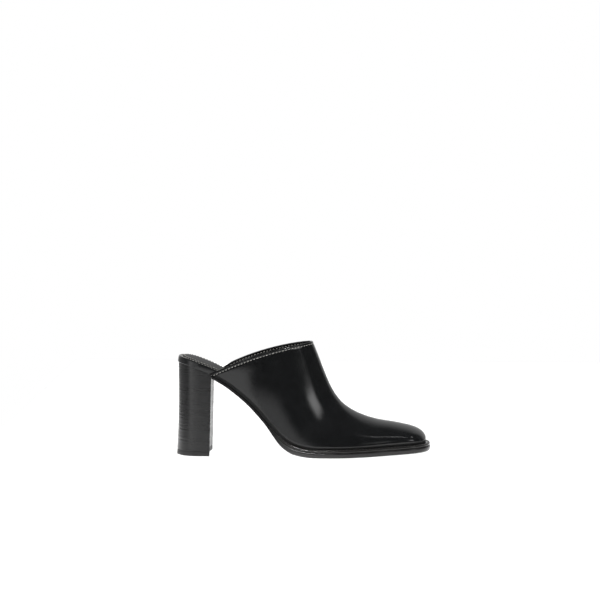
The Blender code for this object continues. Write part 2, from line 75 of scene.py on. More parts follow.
# The form of the last and of the pieces, as in the frame
LENGTH = 0.2330
HEEL_HEIGHT = 0.0850
THROAT_HEIGHT = 0.1040
THROAT_REACH = 0.1243
TOE_HEIGHT = 0.0183
TOE_SPRING = 0.0044
SEAT_WIDTH = 0.0536
WAIST_WIDTH = 0.0440
BALL_WIDTH = 0.0692
TOE_WIDTH = 0.0480
TOE_SWING = 0.0040
WALL = 0.0018
SOLE = 0.0072
WELT = 0.0021
WELT_EDGE = 0.0009
SHANK = 0.0027
SEAT_BOARD = 0.0058
FORE_BOARD = 0.0034
SOCK = 0.0006
TOP_LIFT = 0.0048
WELT_MARGIN = 0.0028
TUCK = 0.0010
SOLE_BEVEL = 0.0016
SOCK_MARGIN = 0.0034
HEEL_INSET = 0.0009
CLEARANCE = 0.0003
HEEL_LENGTH = 0.0322
HEEL_FOOT_LENGTH = 0.0312
HEEL_FOOT_WIDTH = 0.0548
HEEL_FOOT_TAPER = 0.0019
HEEL_BACK_RAKE = 0.0013
HEEL_BACK_HOLLOW = 0.0009
BREAST_HOLLOW = 0.0017
WING_OVERLAP = 0.0026
INNER_LAG = 0.0040
SEAT_ROUND = 0.0205
SEAT_CURVE = 2.2
TOE_ROUND = 0.0200
TOE_CURVE = 2.8
NOSE_LENGTH = 0.0280
NOSE_CURVE = 2.25
BALL_BACK = 0.1310
SPRING_START = 0.1500
SPRING_CURVE = 1.5
SWELL_START = 0.0820
SWELL_END = 0.1110
WELT_START = 0.0860
WELT_FULL = 0.1150
TOPLINE_BOW = 0.0037
INNER_BOW = 0.0080
TUCK_HEIGHT = 0.0030
WIDTH_CURVE = 2.1
CREST_POWERS = (1.3, 8.0)  # the roundest and the squarest crest
TUCK_CURVE = 1.5
INNER_BOW_CURVE = 1.5
BACK_HOLLOW_FADE = 6  # powers with which a hollow at a piece's ends fades along it
FRONT_HOLLOW_FADE = 3

# Place along the shank, share of the heel's rise
LAST_CURVE = (
    (0.000, 1.000),
    (0.080, 0.970),
    (0.155, 0.926),
    (0.240, 0.867),
    (0.345, 0.768),
    (0.445, 0.640),
    (0.535, 0.503),
    (0.610, 0.366),
    (0.672, 0.246),
    (0.726, 0.150),
    (0.782, 0.079),
    (0.845, 0.034),
    (0.925, 0.007),
    (1.000, 0.000),
)

# The insole's outline: reach, size that it follows, outer and inner half width, swing
OUTLINE = (
    (0.000, SEAT_WIDTH, 0.488, 0.488, 0.00),
    (0.070, SEAT_WIDTH, 0.498, 0.498, 0.00),
    (0.120, SEAT_WIDTH, 0.498, 0.494, 0.00),
    (0.165, SEAT_WIDTH, 0.476, 0.466, 0.00),
    (0.215, WAIST_WIDTH, 0.536, 0.512, 0.00),
    (0.270, WAIST_WIDTH, 0.518, 0.474, 0.00),
    (0.325, WAIST_WIDTH, 0.540, 0.474, 0.00),
    (0.385, BALL_WIDTH, 0.388, 0.334, 0.00),
    (0.450, BALL_WIDTH, 0.446, 0.390, 0.02),
    (0.515, BALL_WIDTH, 0.484, 0.442, 0.04),
    (0.580, BALL_WIDTH, 0.502, 0.480, 0.08),
    (0.645, BALL_WIDTH, 0.500, 0.497, 0.16),
    (0.710, BALL_WIDTH, 0.480, 0.490, 0.30),
    (0.775, BALL_WIDTH, 0.446, 0.460, 0.50),
    (0.840, BALL_WIDTH, 0.406, 0.418, 0.74),
    (0.900, TOE_WIDTH, 0.534, 0.542, 0.92),
    (0.950, TOE_WIDTH, 0.506, 0.512, 1.00),
    (1.000, TOE_WIDTH, 0.490, 0.496, 1.00),
)

# Place from throat to toe, share of the instep's rise, share of the toe's height
RIDGE = (
    (0.000, 1.000, 1.00),
    (0.028, 0.910, 1.00),
    (0.072, 0.754, 1.00),
    (0.112, 0.613, 1.00),
    (0.156, 0.474, 1.00),
    (0.203, 0.367, 1.00),
    (0.249, 0.292, 1.00),
    (0.295, 0.240, 1.00),
    (0.340, 0.199, 1.00),
    (0.386, 0.165, 1.00),
    (0.438, 0.132, 1.00),
    (0.500, 0.100, 1.00),
    (0.590, 0.064, 1.00),
    (0.692, 0.034, 1.00),
    (0.795, 0.003, 1.00),
    (0.880, -0.004, 0.98),
    (1.000, 0.000, 0.94),
)

# Foot of the section, its crest's place on the instep, crest radius and half width as shares of the ball
# width, share of the tuck, share of the topline's bow
SECTIONS = (
    (0.000, 0.000, 0.246, 0.336, 0.00, 1.00),
    (0.070, 0.036, 0.249, 0.350, 0.10, 0.66),
    (0.137, 0.072, 0.257, 0.376, 0.30, 0.40),
    (0.203, 0.113, 0.266, 0.405, 0.55, 0.22),
    (0.269, 0.158, 0.277, 0.442, 0.80, 0.10),
    (0.340, 0.208, 0.296, 0.481, 1.00, 0.03),
    (0.411, 0.269, 0.321, 0.510, 1.00, 0.00),
    (0.493, 0.346, 0.354, 0.529, 1.00, 0.00),
    (0.584, 0.443, 0.397, 0.526, 1.00, 0.00),
    (0.670, 0.545, 0.448, 0.500, 1.00, 0.00),
    (0.752, 0.647, 0.506, 0.466, 1.00, 0.00),
    (0.823, 0.740, 0.578, 0.431, 1.00, 0.00),
    (0.886, 0.827, 0.679, 0.405, 1.00, 0.00),
    (0.943, 0.912, 0.760, 0.392, 1.00, 0.00),
    (1.000, 1.000, 0.800, 0.386, 1.00, 0.00),
)

TIP_LEAN = SPRING_CURVE * TOE_SPRING / (LENGTH - SPRING_START) * SOLE / 2
INSOLE_BACK = HEEL_BACK_RAKE - HEEL_INSET
INSOLE_TIP = LENGTH - TIP_LEAN - WELT_MARGIN - TUCK - WALL - CLEARANCE
HEEL_FRONT = HEEL_BACK_RAKE + HEEL_LENGTH
WING_X = HEEL_FRONT - WING_OVERLAP
UPPER_TIP = INSOLE_TIP + CLEARANCE + WALL

# Thicknesses and places that only the dressed shoe shows
CALF = 0.00105  # the upper's outer leather
FACING = 0.0100  # depth of the leather strip inside the topline
FACING_GAP = 0.0004  # from the facing's lower edge to the lining
LINING_PARED = 0.3  # share of the lining's thickness at its upper edge
LINING_SKIVE = 1 / 80  # share of its length over which it comes to its full thickness
EDGE_SEAT = 0.00004  # how close finished pieces lie on each other
TOPLINE_STITCH = 0.0024  # stitches from the topline
STITCH_TROUGH = 0.00014  # depth of the trough that they pull, its half width, and its share inside
TROUGH_HALF = 0.0006
INNER_TROUGH = 0.6
STITCH_CURVE = 2.6  # power that flattens a stitch's bead
FOLD_SWELL = 0.00012  # how far the folded edge swells, and its half width
SWELL_HALF = 0.0008
SHADED_FOOT = 0.0024  # height of the painted shade: a dull black band along the upper's foot, for the shadowed gap above the welt
SHADE_FADE = 0.0010
SEAT_PAD = 0.0011  # how far the seat is padded
SEAT_MIDDLE = 0.0220  # middle of the padding, from the back
SEAT_FADE = 0.0200  # how soon the padding ends in front of the heel
SEAT_STITCH = 0.0019  # stitches from the insole's edge
SOCK_STITCH = 0.0015  # stitches from the sock's edge
THREAD_SINK = 0.00002  # how far the rim's stitches are pulled in
WELT_STITCH = 0.0019  # stitches from the welt's edge
STITCHES_BEHIND = 0.0080  # where the welt's stitches start, from its end
WHEEL_DEPTH = 0.00016
LAYER_GROOVE = 0.00008  # depth of the grooves between the heel's lifts, and the power of their form
GROOVE_CURVE = 0.4
SANDED = 0.85  # share of a groove that is sanded away on the heel's sides
SANDED_FROM = 0.15  # where that starts, and over how much of the heel's length it comes
SANDED_OVER = 0.30
CHANNEL = 0.0060  # closed channel in the outsole, from its edge
CHANNEL_HALF = 0.0006
CHANNEL_DEPTH = 0.0002
WELT_GAP = 0.00075  # the outsole's step lies this far behind the welt
STEP_HALF = 0.00015  # half the length of that step
# Painted shade: a dull black and its roughness, on the upper's foot above the welt and on the outsole's
# waist, for the dark gap there
SHADE_BLACK = "#050505"
SHADE_ROUGHNESS = 0.85
SHARP_ANGLE = 50.0  # degrees, past which an edge between faces stays sharp


def linear(colour):
    """An sRGB hex colour as linear red, green and blue."""
    parts = np.array([int(colour[i : i + 2], 16) for i in (1, 3, 5)]) / 255
    return tuple(np.where(parts <= 0.04045, parts / 12.92, ((parts + 0.055) / 1.055) ** 2.4).tolist())


def shoe_home():
    """Where the shoe's own zero lies in the frame: under the back of the heel, in the heel's middle."""
    low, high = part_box("top_lift")
    return np.array([CAD_BOX[0][0], (low[1] + high[1]) / 2, 0.0])


HOME = shoe_home()


def spline(knots, values, at, end_slope=None):
    """A cubic through the knots with no jump in curvature, free at its start and free or held at its end."""
    knots = np.asarray(knots, float)
    values = np.asarray(values, float)
    gap = np.diff(knots)
    rise = np.diff(values) / gap
    count = len(knots)
    system = np.zeros((count, count))
    target = np.zeros(count)
    inner = np.arange(1, count - 1)
    system[inner, inner - 1] = gap[:-1]
    system[inner, inner] = 2 * (gap[:-1] + gap[1:])
    system[inner, inner + 1] = gap[1:]
    target[1:-1] = 6 * np.diff(rise)
    system[0, 0] = 1
    system[-1, -1] = 1
    if end_slope is not None:
        system[-1, -2:] = gap[-1], 2 * gap[-1]
        target[-1] = 6 * (end_slope - rise[-1])
    bend = np.linalg.solve(system, target)
    at = np.clip(np.asarray(at, float), knots[0], knots[-1])
    k = np.clip(np.searchsorted(knots, at) - 1, 0, count - 2)
    step = at - knots[k]
    slope = rise[k] - gap[k] * (2 * bend[k] + bend[k + 1]) / 6
    return values[k] + step * (slope + step * (bend[k] / 2 + step * (bend[k + 1] - bend[k]) / (6 * gap[k])))


def run_lengths(points):
    """Length along each line of points (count, ..., 3), from 0 at its start."""
    step = np.linalg.norm(np.diff(points, axis=0), axis=-1)
    return np.concatenate([np.zeros_like(step[:1]), np.cumsum(step, axis=0)])


def read_along(at, lengths, values):
    """Values (count, parts) that are given at these lengths, read at other ones."""
    return np.stack([np.interp(at, lengths, part) for part in values.T], axis=-1)


def column(table, number):
    """One column of a table, as numbers."""
    return np.array([row[number] for row in table], float)


def smooth(share):
    """A smooth step from 0 to 1 as the share goes from 0 to 1."""
    share = np.clip(share, 0, 1)
    return share * share * (3 - 2 * share)


def rounded(share, power):
    """Half width of a superellipse's end, from 1 at share 0 to 0 at share 1."""
    share = np.where(share > 1 - 1e-9, 1.0, np.clip(share, 0, 1))
    return (1 - share**power) ** (1 / power)


def around_end(steps, power):
    """Shares along a rounded end that keep its outline evenly divided."""
    return np.sin(np.linspace(0, np.pi / 2, steps)) ** (2 / power)


def sole_top(x):
    """Height of the lasted surface: the heel's rise along the shank, plus a spring that grows as a power."""
    share = np.clip(x / BALL_BACK, 0, 1)
    rise = spline(column(LAST_CURVE, 0), column(LAST_CURVE, 1), share, end_slope=0.0)
    spring = np.clip((x - SPRING_START) / (LENGTH - SPRING_START), 0, None) ** SPRING_CURVE
    return SOLE + (HEEL_HEIGHT - SOLE) * rise + TOE_SPRING * spring


def sole_normal(x):
    """The unit normal of the lasted surface in the side view, as its x and z parts."""
    step = 1e-4
    slope = (sole_top(x + step) - sole_top(x - step)) / (2 * step)
    length = np.sqrt(1 + slope * slope)
    return -slope / length, 1 / length


def above_sole(plan, lift):
    """Points of a plan (..., 2) set on the lasted surface and lifted along its normal."""
    x, y = plan[..., 0], plan[..., 1]
    across, up = sole_normal(x)
    return np.stack([x + lift * across, y, sole_top(x) + lift * up], axis=-1)


def outline_at(x):
    """Swing and the outer and inner half widths of the insole at x, before its ends are rounded."""
    reach = column(OUTLINE, 0)
    share = x / INSOLE_TIP
    size = column(OUTLINE, 1)
    outer = spline(reach, size * column(OUTLINE, 2), share)
    inner = spline(reach, size * column(OUTLINE, 3), share)
    swing = TOE_SWING * spline(reach, column(OUTLINE, 4), share)
    return swing, outer, inner


def insole_stations(start, side_steps=150, end_steps=36):
    """x values from start to the insole's tip, close together round the ends."""
    toe = INSOLE_TIP - TOE_ROUND + TOE_ROUND * around_end(end_steps, TOE_CURVE)
    if start > INSOLE_BACK:
        return np.concatenate([np.linspace(start, toe[0], side_steps)[:-1], toe])
    seat = INSOLE_BACK + SEAT_ROUND * (1 - around_end(end_steps, SEAT_CURVE)[::-1])
    return np.concatenate([seat[:-1], np.linspace(seat[-1], toe[0], side_steps)[:-1], toe])


def insole_sides(x):
    """Outer and inner edge points of the insole, with its seat and toe rounded."""
    swing, outer, inner = outline_at(x)
    cap = rounded((INSOLE_BACK + SEAT_ROUND - x) / SEAT_ROUND, SEAT_CURVE)
    cap = cap * rounded((x - INSOLE_TIP + TOE_ROUND) / TOE_ROUND, TOE_CURVE)
    return np.stack([x, swing - outer * cap], axis=-1), np.stack([x, swing + inner * cap], axis=-1)


def grown(outer, inner, grow):
    """Both edges moved outwards along their own normals, by one length or by one for each point."""
    loop = np.concatenate([outer, inner[::-1]])
    grow = np.broadcast_to(grow, len(outer))
    amount = np.concatenate([grow, grow[::-1]])[:, None]
    open_back = not np.allclose(outer[0], inner[0])
    ahead = np.roll(loop, -1, axis=0)
    behind = np.roll(loop, 1, axis=0)
    tip = len(outer) - 1
    ahead[tip] = loop[tip + 2]
    behind[tip + 1] = loop[tip - 1]
    if open_back:
        behind[0] = loop[0]
        ahead[-1] = loop[-1]
    else:
        behind[0] = loop[-2]
        ahead[-1] = loop[1]
    along = ahead - behind
    along /= np.linalg.norm(along, axis=1)[:, None]
    moved = loop + amount * np.stack([along[:, 1], -along[:, 0]], axis=-1)
    if open_back:
        moved[0, 0] = outer[0, 0]
        moved[-1, 0] = inner[0, 0]
    return moved[: len(outer)], moved[len(outer) :][::-1]


def plan_grid(outer, inner, across=25, back_hollow=0.0, front_hollow=0.0):
    """A grid of plan points between two edges. The ends can be bowed back by a hollow of the given depth."""
    share = np.linspace(0, 1, across)[None, :, None]
    grid = outer[:, None, :] * (1 - share) + inner[:, None, :] * share
    bow = 1 - (2 * share[..., 0] - 1) ** 2
    along = np.linspace(0, 1, len(outer))[:, None]
    hollow = back_hollow * (1 - along) ** BACK_HOLLOW_FADE + front_hollow * along**FRONT_HOLLOW_FADE
    grid[..., 0] -= bow * hollow
    return grid


def rim_of(rows, columns):
    """Indices of a grid's edge in order, as (row, column) arrays."""
    i = [*range(rows), *[rows - 1] * (columns - 2), *range(rows - 1, -1, -1), *[0] * (columns - 2)]
    j = [*[0] * rows, *range(1, columns - 1), *[columns - 1] * rows, *range(columns - 2, 0, -1)]
    return np.array(i), np.array(j)


def grid_faces(rows, columns, start, turned=False):
    """Quads of a grid whose points are numbered row by row from start."""
    first = (start + np.arange(rows - 1)[:, None] * columns + np.arange(columns - 1)[None, :]).ravel()
    quads = np.stack([first, first + 1, first + columns + 1, first + columns], axis=1)
    return quads[:, ::-1] if turned else quads


def stacked(levels):
    """Points and faces of the solid whose underside, rims and top are these grids (rows, columns, 3)."""
    rows, columns = levels[0].shape[:2]
    i, j = rim_of(rows, columns)
    size = rows * columns
    points = [levels[0].reshape(-1, 3), levels[-1].reshape(-1, 3)]
    faces = [grid_faces(rows, columns, 0), grid_faces(rows, columns, size, turned=True)]
    rings = [i * columns + j]
    start = 2 * size
    for level in levels[1:-1]:
        points.append(level[i, j])
        rings.append(start + np.arange(len(i)))
        start += len(i)
    rings.append(size + i * columns + j)
    for below, above in zip(rings, rings[1:]):
        faces.append(np.stack([below, above, np.roll(above, -1), np.roll(below, -1)], axis=1))
    return np.concatenate(points), np.concatenate(faces)


def add_piece(name, points, faces, material, slot, *nodes, inked=None):
    """A closed, smooth mesh in the frame, which rides on the shoe and stands for the named CAD nodes.

    Where it carries painted shade, a dull black for a shadowed gap, its points carry how much of it they
    have, from 0 to 1.
    """
    mesh = bpy.data.meshes.new(name)
    mesh.from_pydata(np.asarray(points) + HOME, [], np.asarray(faces).tolist())
    if inked is not None:
        values = mesh.attributes.new("inked", "FLOAT", "POINT").data
        values.foreach_set("value", np.asarray(inked, np.float32))
    shape = bmesh.new()
    shape.from_mesh(mesh)
    bmesh.ops.remove_doubles(shape, verts=shape.verts, dist=1e-6)
    bmesh.ops.dissolve_degenerate(shape, edges=shape.edges, dist=1e-7)
    bmesh.ops.recalc_face_normals(shape, faces=shape.faces)
    shape.to_mesh(mesh)
    shape.free()
    mesh.shade_smooth()
    mesh.set_sharp_from_angle(angle=np.radians(SHARP_ANGLE))
    mesh.materials.append(material)
    piece = bpy.data.objects.new(name, mesh)
    bpy.context.scene.collection.objects.link(piece)
    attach(piece, BODY)
    if nodes:
        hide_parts(*nodes)


def add(tree, kind, settings=None, **links):
    """A node of this kind with its settings and its inputs, each by its name, or by i and its number.

    An input takes a value, or a (node, output) pair that it is linked to.
    """
    made = tree.nodes.new(kind)
    for key, value in (settings or {}).items():
        setattr(made, key, value)
    for key, value in links.items():
        numbered = key[0] == "i" and key[1:].isdigit()
        socket = made.inputs[int(key[1:])] if numbered else made.inputs[key.replace("_", " ")]
        if isinstance(value, tuple) and isinstance(value[0], bpy.types.Node):
            tree.links.new(value[0].outputs[value[1]], socket)
        else:
            socket.default_value = value
    return made


def new_material(name):
    """An empty node material with its shader and the object's own coordinates."""
    material = bpy.data.materials.new(name)
    material.use_nodes = True
    tree = material.node_tree
    return material, tree, tree.nodes["Principled BSDF"], (add(tree, "ShaderNodeTexCoord"), "Object")


def finish_material(tree, shader, pattern, colours, gloss, bump, spread=(0.3, 0.7), inked=False):
    """Links a pattern to the colour and the roughness, and a bump to the normal.

    The pattern's spread goes from the first sRGB colour and roughness to the second. Painted shade, a dull
    black where a piece carries it, covers both.
    """
    dark, light = ((*linear(colour), 1) for colour in colours)
    share = add(tree, "ShaderNodeMapRange", Value=pattern, From_Min=spread[0], From_Max=spread[1])
    tone = add(tree, "ShaderNodeMix", {"data_type": "RGBA"}, i0=(share, 0), i6=dark, i7=light)
    rough = add(tree, "ShaderNodeMapRange", Value=(share, 0), To_Min=gloss[0], To_Max=gloss[1])
    if inked:
        # painted shade: the piece's share of dull black, which darkens the colour and dulls the roughness
        ink = (add(tree, "ShaderNodeAttribute", {"attribute_name": "inked"}), "Fac")
        black = (*linear(SHADE_BLACK), 1)
        tone = add(tree, "ShaderNodeMix", {"data_type": "RGBA"}, i0=ink, i6=(tone, 2), i7=black)
        rough = add(tree, "ShaderNodeMix", {"data_type": "FLOAT"}, i0=ink, i2=(rough, 0), i3=SHADE_ROUGHNESS)
    tree.links.new(tone.outputs[2], shader.inputs["Base Color"])
    tree.links.new(rough.outputs[0], shader.inputs["Roughness"])
    tree.links.new(bump.outputs[0], shader.inputs["Normal"])


def smooth_calf(name, dark, light, roughness):
    """Chrome-tanned box calf, aniline dyed and glazed with a glass roll.

    The glazing leaves a tight grain of shallow cells with a bright finish, so the sheen is clear but breaks
    up over single cells. The real cells are 0.3 mm across and are drawn at 0.7 mm, 1400 to the metre, so
    that they show. Folds are 2.4 mm across, clouds of dye 14 mm, and the swells of the drape 26 mm.
    """
    material, tree, shader, place = new_material(name)
    cells = add(
        tree, "ShaderNodeTexVoronoi", {"feature": "SMOOTH_F1"}, Vector=place, Scale=1400.0, Smoothness=0.6
    )
    folds = add(tree, "ShaderNodeTexNoise", Vector=place, Scale=420.0, Detail=5.0, Roughness=0.6)
    clouds = add(tree, "ShaderNodeTexNoise", Vector=place, Scale=70.0, Detail=3.0, Roughness=0.55)
    drape = add(tree, "ShaderNodeTexNoise", Vector=place, Scale=38.0, Detail=1.0, Roughness=0.4)
    bump = add(tree, "ShaderNodeBump", Strength=0.2, Distance=0.0006, Height=(drape, "Fac"))
    for height, strength, depth in (((folds, "Fac"), 0.3, 0.0001), ((cells, 0), 0.06, 0.00009)):
        bump = add(tree, "ShaderNodeBump", Strength=strength, Distance=depth, Height=height, Normal=(bump, 0))
    gloss = (roughness - 0.02, roughness + 0.03)
    # where the piece carries painted shade, the calf turns dull black
    finish_material(tree, shader, (clouds, "Fac"), (dark, light), gloss, bump, inked=True)
    shader.inputs["IOR"].default_value = 1.5
    return material


def lining_leather(name, dark, light):
    """Soft glove-tanned lining leather: a dull surface with fibres of 1 mm, rubbed in patches of 18 mm."""
    material, tree, shader, place = new_material(name)
    fibres = add(tree, "ShaderNodeTexNoise", Vector=place, Scale=900.0, Detail=4.0, Roughness=0.7)
    rubbed = add(tree, "ShaderNodeTexNoise", Vector=place, Scale=55.0, Detail=3.0)
    bump = add(tree, "ShaderNodeBump", Strength=0.3, Distance=0.0001, Height=(fibres, "Fac"))
    finish_material(tree, shader, (rubbed, "Fac"), (dark, light), (0.44, 0.58), bump)
    shader.inputs["Specular IOR Level"].default_value = 0.35
    return material


def inked_edge(name, dark, light, gloss):
    """Cut leather edge, sanded, inked black and burnished with wax: lines of 0.4 mm run along the layers."""
    material, tree, shader, place = new_material(name)
    layers = add(tree, "ShaderNodeMapping", Vector=place, Scale=(60.0, 60.0, 2600.0))
    lines = add(tree, "ShaderNodeTexNoise", Vector=(layers, 0), Scale=1.0, Detail=3.0, Roughness=0.6)
    bump = add(tree, "ShaderNodeBump", Strength=0.2, Distance=0.00008, Height=(lines, "Fac"))
    # where the piece carries painted shade, the edge turns dull black
    finish_material(tree, shader, (lines, "Fac"), (dark, light), gloss, bump, inked=True)
    return material


def stacked_leather(name, dark, light, layer):
    """Stacked heel lifts, each a slice of board leather, dyed and waxed.

    Every lift takes the dye a little differently, so the tone steps from lift to lift, and fibres of 0.3 mm
    run level round the block.
    """
    material, tree, shader, place = new_material(name)
    level = add(tree, "ShaderNodeMapping", Vector=place, Scale=(0.0, 0.0, 1.0 / layer))
    floor = add(tree, "ShaderNodeVectorMath", {"operation": "FLOOR"}, i0=(level, 0))
    lift = add(tree, "ShaderNodeTexWhiteNoise", {"noise_dimensions": "3D"}, Vector=(floor, 0))
    flat = add(tree, "ShaderNodeMapping", Vector=place, Scale=(90.0, 90.0, 3200.0))
    fibres = (add(tree, "ShaderNodeTexNoise", Vector=(flat, 0), Scale=1.0, Detail=4.0, Roughness=0.65), "Fac")
    mixed = add(tree, "ShaderNodeMath", {"operation": "MULTIPLY_ADD"}, i0=(lift, "Value"), i1=0.45, i2=fibres)
    bump = add(tree, "ShaderNodeBump", Strength=0.15, Distance=0.0001, Height=fibres)
    finish_material(tree, shader, (mixed, 0), (dark, light), (0.24, 0.32), bump, spread=(0.35, 1.05))
    return material


def moulded_rubber(name, dark, light):
    """Moulded rubber of the wearing piece: matte, with a fine even stipple of 0.7 mm."""
    material, tree, shader, place = new_material(name)
    stipple = (add(tree, "ShaderNodeTexNoise", Vector=place, Scale=1500.0, Detail=2.0), "Fac")
    bump = add(tree, "ShaderNodeBump", Strength=0.4, Distance=0.0001, Height=stipple)
    finish_material(tree, shader, stipple, (dark, light), (0.44, 0.58), bump)
    return material


def waxed_thread(name, dark, light):
    """Bonded, waxed sewing thread: plies of 0.4 mm that catch a small bright line of light."""
    material, tree, shader, place = new_material(name)
    plies = (add(tree, "ShaderNodeTexNoise", Vector=place, Scale=2400.0, Detail=1.0), "Fac")
    bump = add(tree, "ShaderNodeBump", Strength=0.4, Distance=0.00008, Height=plies)
    finish_material(tree, shader, plies, (dark, light), (0.30, 0.45), bump)
    shader.inputs["Sheen Weight"].default_value = 0.3
    return material


def studio_paper(name, colour):
    """Matte white paper of a photo studio, with a slight tooth of 3 mm."""
    material, tree, shader, place = new_material(name)
    tooth = (add(tree, "ShaderNodeTexNoise", Vector=place, Scale=300.0, Detail=2.0), "Fac")
    bump = add(tree, "ShaderNodeBump", Strength=0.05, Distance=0.0001, Height=tooth)
    finish_material(tree, shader, tooth, (colour, colour), (0.85, 0.95), bump, spread=(0.0, 1.0))
    shader.inputs["Specular IOR Level"].default_value = 0.1
    return material


def crest_line(share):
    """The instep's line in the side view, from the throat at 0 to the toe at 1, as x and z."""
    x = THROAT_REACH + share * (UPPER_TIP - THROAT_REACH)
    toe = TOE_HEIGHT * spline(column(RIDGE, 0), column(RIDGE, 2), share)
    instep = THROAT_HEIGHT - sole_top(THROAT_REACH) - TOE_HEIGHT
    rise = toe + instep * spline(column(RIDGE, 0), column(RIDGE, 1), share)
    nose = rounded((x - UPPER_TIP + NOSE_LENGTH) / NOSE_LENGTH, NOSE_CURVE)
    return x, sole_top(x) + CLEARANCE + rise * nose


def half_section(foot, side, steps, fine=420):
    """One side of every section, from the sole to the crest: an array (rows, steps, 4), last the bulge.

    A section stands on the sole's edge and leans with the instep. At a share h of its height its half width
    is that of its envelope times sqrt(1 - h ** p), where p gives the crest its radius.
    """
    place, *rest = (column(SECTIONS, number) for number in range(6))
    crest_at, radius, width, tuck, bow = (spline(place, values, foot)[:, None] for values in rest)
    foot_x = WING_X + foot * (UPPER_TIP - WING_X)
    if side > 0:
        foot_x = foot_x + INNER_LAG * np.clip(bow[:, 0], 0, 1)
    crest_x, crest_z = crest_line(np.clip(crest_at, 0, 1))
    across, up = sole_normal(foot_x)
    base_x = (foot_x + CLEARANCE * across)[:, None]
    base_z = (sole_top(foot_x) + CLEARANCE * up)[:, None]
    height = np.hypot(crest_x - base_x, crest_z - base_z)
    edge_x = insole_stations(INSOLE_BACK, 60, 24)
    edges = grown(*insole_sides(edge_x), CLEARANCE + WALL)[0 if side < 0 else 1]
    swing = outline_at(foot_x)[0]
    base_half = np.abs(np.interp(foot_x, edges[:, 0], edges[:, 1]) - swing)[:, None]
    cap = rounded((foot_x - UPPER_TIP + TOE_ROUND) / TOE_ROUND, TOE_CURVE)[:, None]
    top_half = width * BALL_WIDTH * cap
    power = 2 * radius * BALL_WIDTH * height / (width * BALL_WIDTH) ** 2
    power = np.clip(power, *CREST_POWERS)
    angle = np.linspace(np.pi / 2, 0, fine)[None, :]
    share = np.cos(angle) ** (2 / power)
    half = (top_half + (base_half - top_half) * (1 - share) ** WIDTH_CURVE) * np.sin(angle)
    x = base_x + (crest_x - base_x) * share
    z = base_z + (crest_z - base_z) * share + 4 * TOPLINE_BOW * bow * share * (1 - share)
    if side > 0:
        z = z + INNER_BOW * bow * np.sqrt(share) * (1 - share) ** INNER_BOW_CURVE
    y = outline_at(np.minimum(x, INSOLE_TIP))[0] + side * half
    drawn_in = 1 - np.exp(-((share * height / TUCK_HEIGHT) ** TUCK_CURVE))
    full = np.stack([x, y, z, TUCK * tuck * drawn_in], axis=-1)
    lengths = run_lengths(full[..., :3].swapaxes(0, 1))
    shares = (lengths / np.maximum(lengths[-1], 1e-12)).T
    picked = np.stack([read_along(np.linspace(0, 1, steps), *row) for row in zip(shares, full)])
    picked[-1] = picked[-1, 0]
    return picked


def grid_normals(points):
    """Unit normals of a grid that point out of the shoe. The last row is the toe's tip, and faces ahead."""
    normal = np.cross(np.gradient(points, axis=0), np.gradient(points, axis=1))
    normal = normal / np.maximum(np.linalg.norm(normal, axis=-1, keepdims=True), 1e-15)
    normal[-1] = (1, 0, 0)
    return normal


def upper_form(rows=300, steps=121):
    """The upper's outer surface and its normals on a fine grid (rows, 2 * steps - 1, 3), topline to toe."""
    toe = 1 - TOE_ROUND / (UPPER_TIP - WING_X)
    round_rows = rows // 3
    foot = np.linspace(0, toe, rows - round_rows + 1)[:-1]
    foot = np.concatenate([foot, toe + (1 - toe) * around_end(round_rows, TOE_CURVE)])
    whole = np.concatenate([half_section(foot, -1, steps), half_section(foot, 1, steps)[:, -2::-1]], axis=1)
    points, bulge = whole[..., :3], whole[..., 3:]
    level = grid_normals(points)
    level[..., 2] = 0
    outside = points + bulge * level
    normal = grid_normals(outside)
    rise = np.linalg.norm(outside - outside[:, :1], axis=-1)
    rise = np.minimum(rise, np.linalg.norm(outside - outside[:, -1:], axis=-1))
    upright = np.exp(-((rise / (2 * TUCK_HEIGHT)) ** 2))
    across, up = sole_normal(WING_X + foot * (UPPER_TIP - WING_X))
    leaning = normal[..., 0] * across[:, None] + normal[..., 2] * up[:, None]
    normal[..., 0] -= upright * leaning * across[:, None]
    normal[..., 2] -= upright * leaning * up[:, None]
    return outside, normal / np.linalg.norm(normal, axis=-1, keepdims=True)


def from_topline(points, fine=700):
    """How far each point of the form's grid lies from the topline, its first row."""
    lengths = run_lengths(points[0])
    edge = read_along(np.linspace(0, lengths[-1], fine), lengths, points[0])
    away = [np.linalg.norm(line[:, None] - edge, axis=-1).min(axis=1) for line in points.swapaxes(0, 1)]
    return np.maximum.accumulate(np.stack(away, axis=1), axis=0) + 1e-7 * np.arange(len(points))[:, None]


class Form:
    """The upper's fine surface, which can be read at any distance from the topline."""

    def __init__(self):
        self.points, self.normals = upper_form()
        self.away = from_topline(self.points)
        self.along = run_lengths(self.points)
        self.total = self.along[-1]

    def at(self, lengths):
        """Points and normals at lengths (rows, columns) along each column, measured from the topline."""
        source = np.concatenate([self.points, self.normals], axis=-1).swapaxes(0, 1)
        found = np.stack([read_along(*line) for line in zip(lengths.T, self.along.T, source)], axis=1)
        normal = found[..., 3:]
        return found[..., :3], normal / np.linalg.norm(normal, axis=-1, keepdims=True)

    def lengths_at(self, distances):
        """Lengths along each column at which the surface lies these distances from the topline."""
        return np.stack([np.interp(distances, *line) for line in zip(self.away.T, self.along.T)], axis=1)

    def rows(self, near, count):
        """Lengths of rows at the near distances from the topline, then of count even rows to the toe."""
        first = self.lengths_at(near)
        share = np.linspace(0, 1, count + 1)[1:, None]
        return np.concatenate([first, first[-1] + (self.total - first[-1]) * share])


# Rows of the leather near its folded edge, in metres from the topline, and the number of rows past them
NEAR_ROWS = 1e-3 * np.array(
    [0, 0.1, 0.25, 0.45, 0.7, 0.95, 1.2, 1.6, 1.9, 2.15, 2.4]
    + [2.65, 2.9, 3.2, 3.7, 4.4, 5.4, 6.6, 8.0, 9.2, 9.9, 10.3]
)
FAR_ROWS = 108
LINING_ROWS = 60


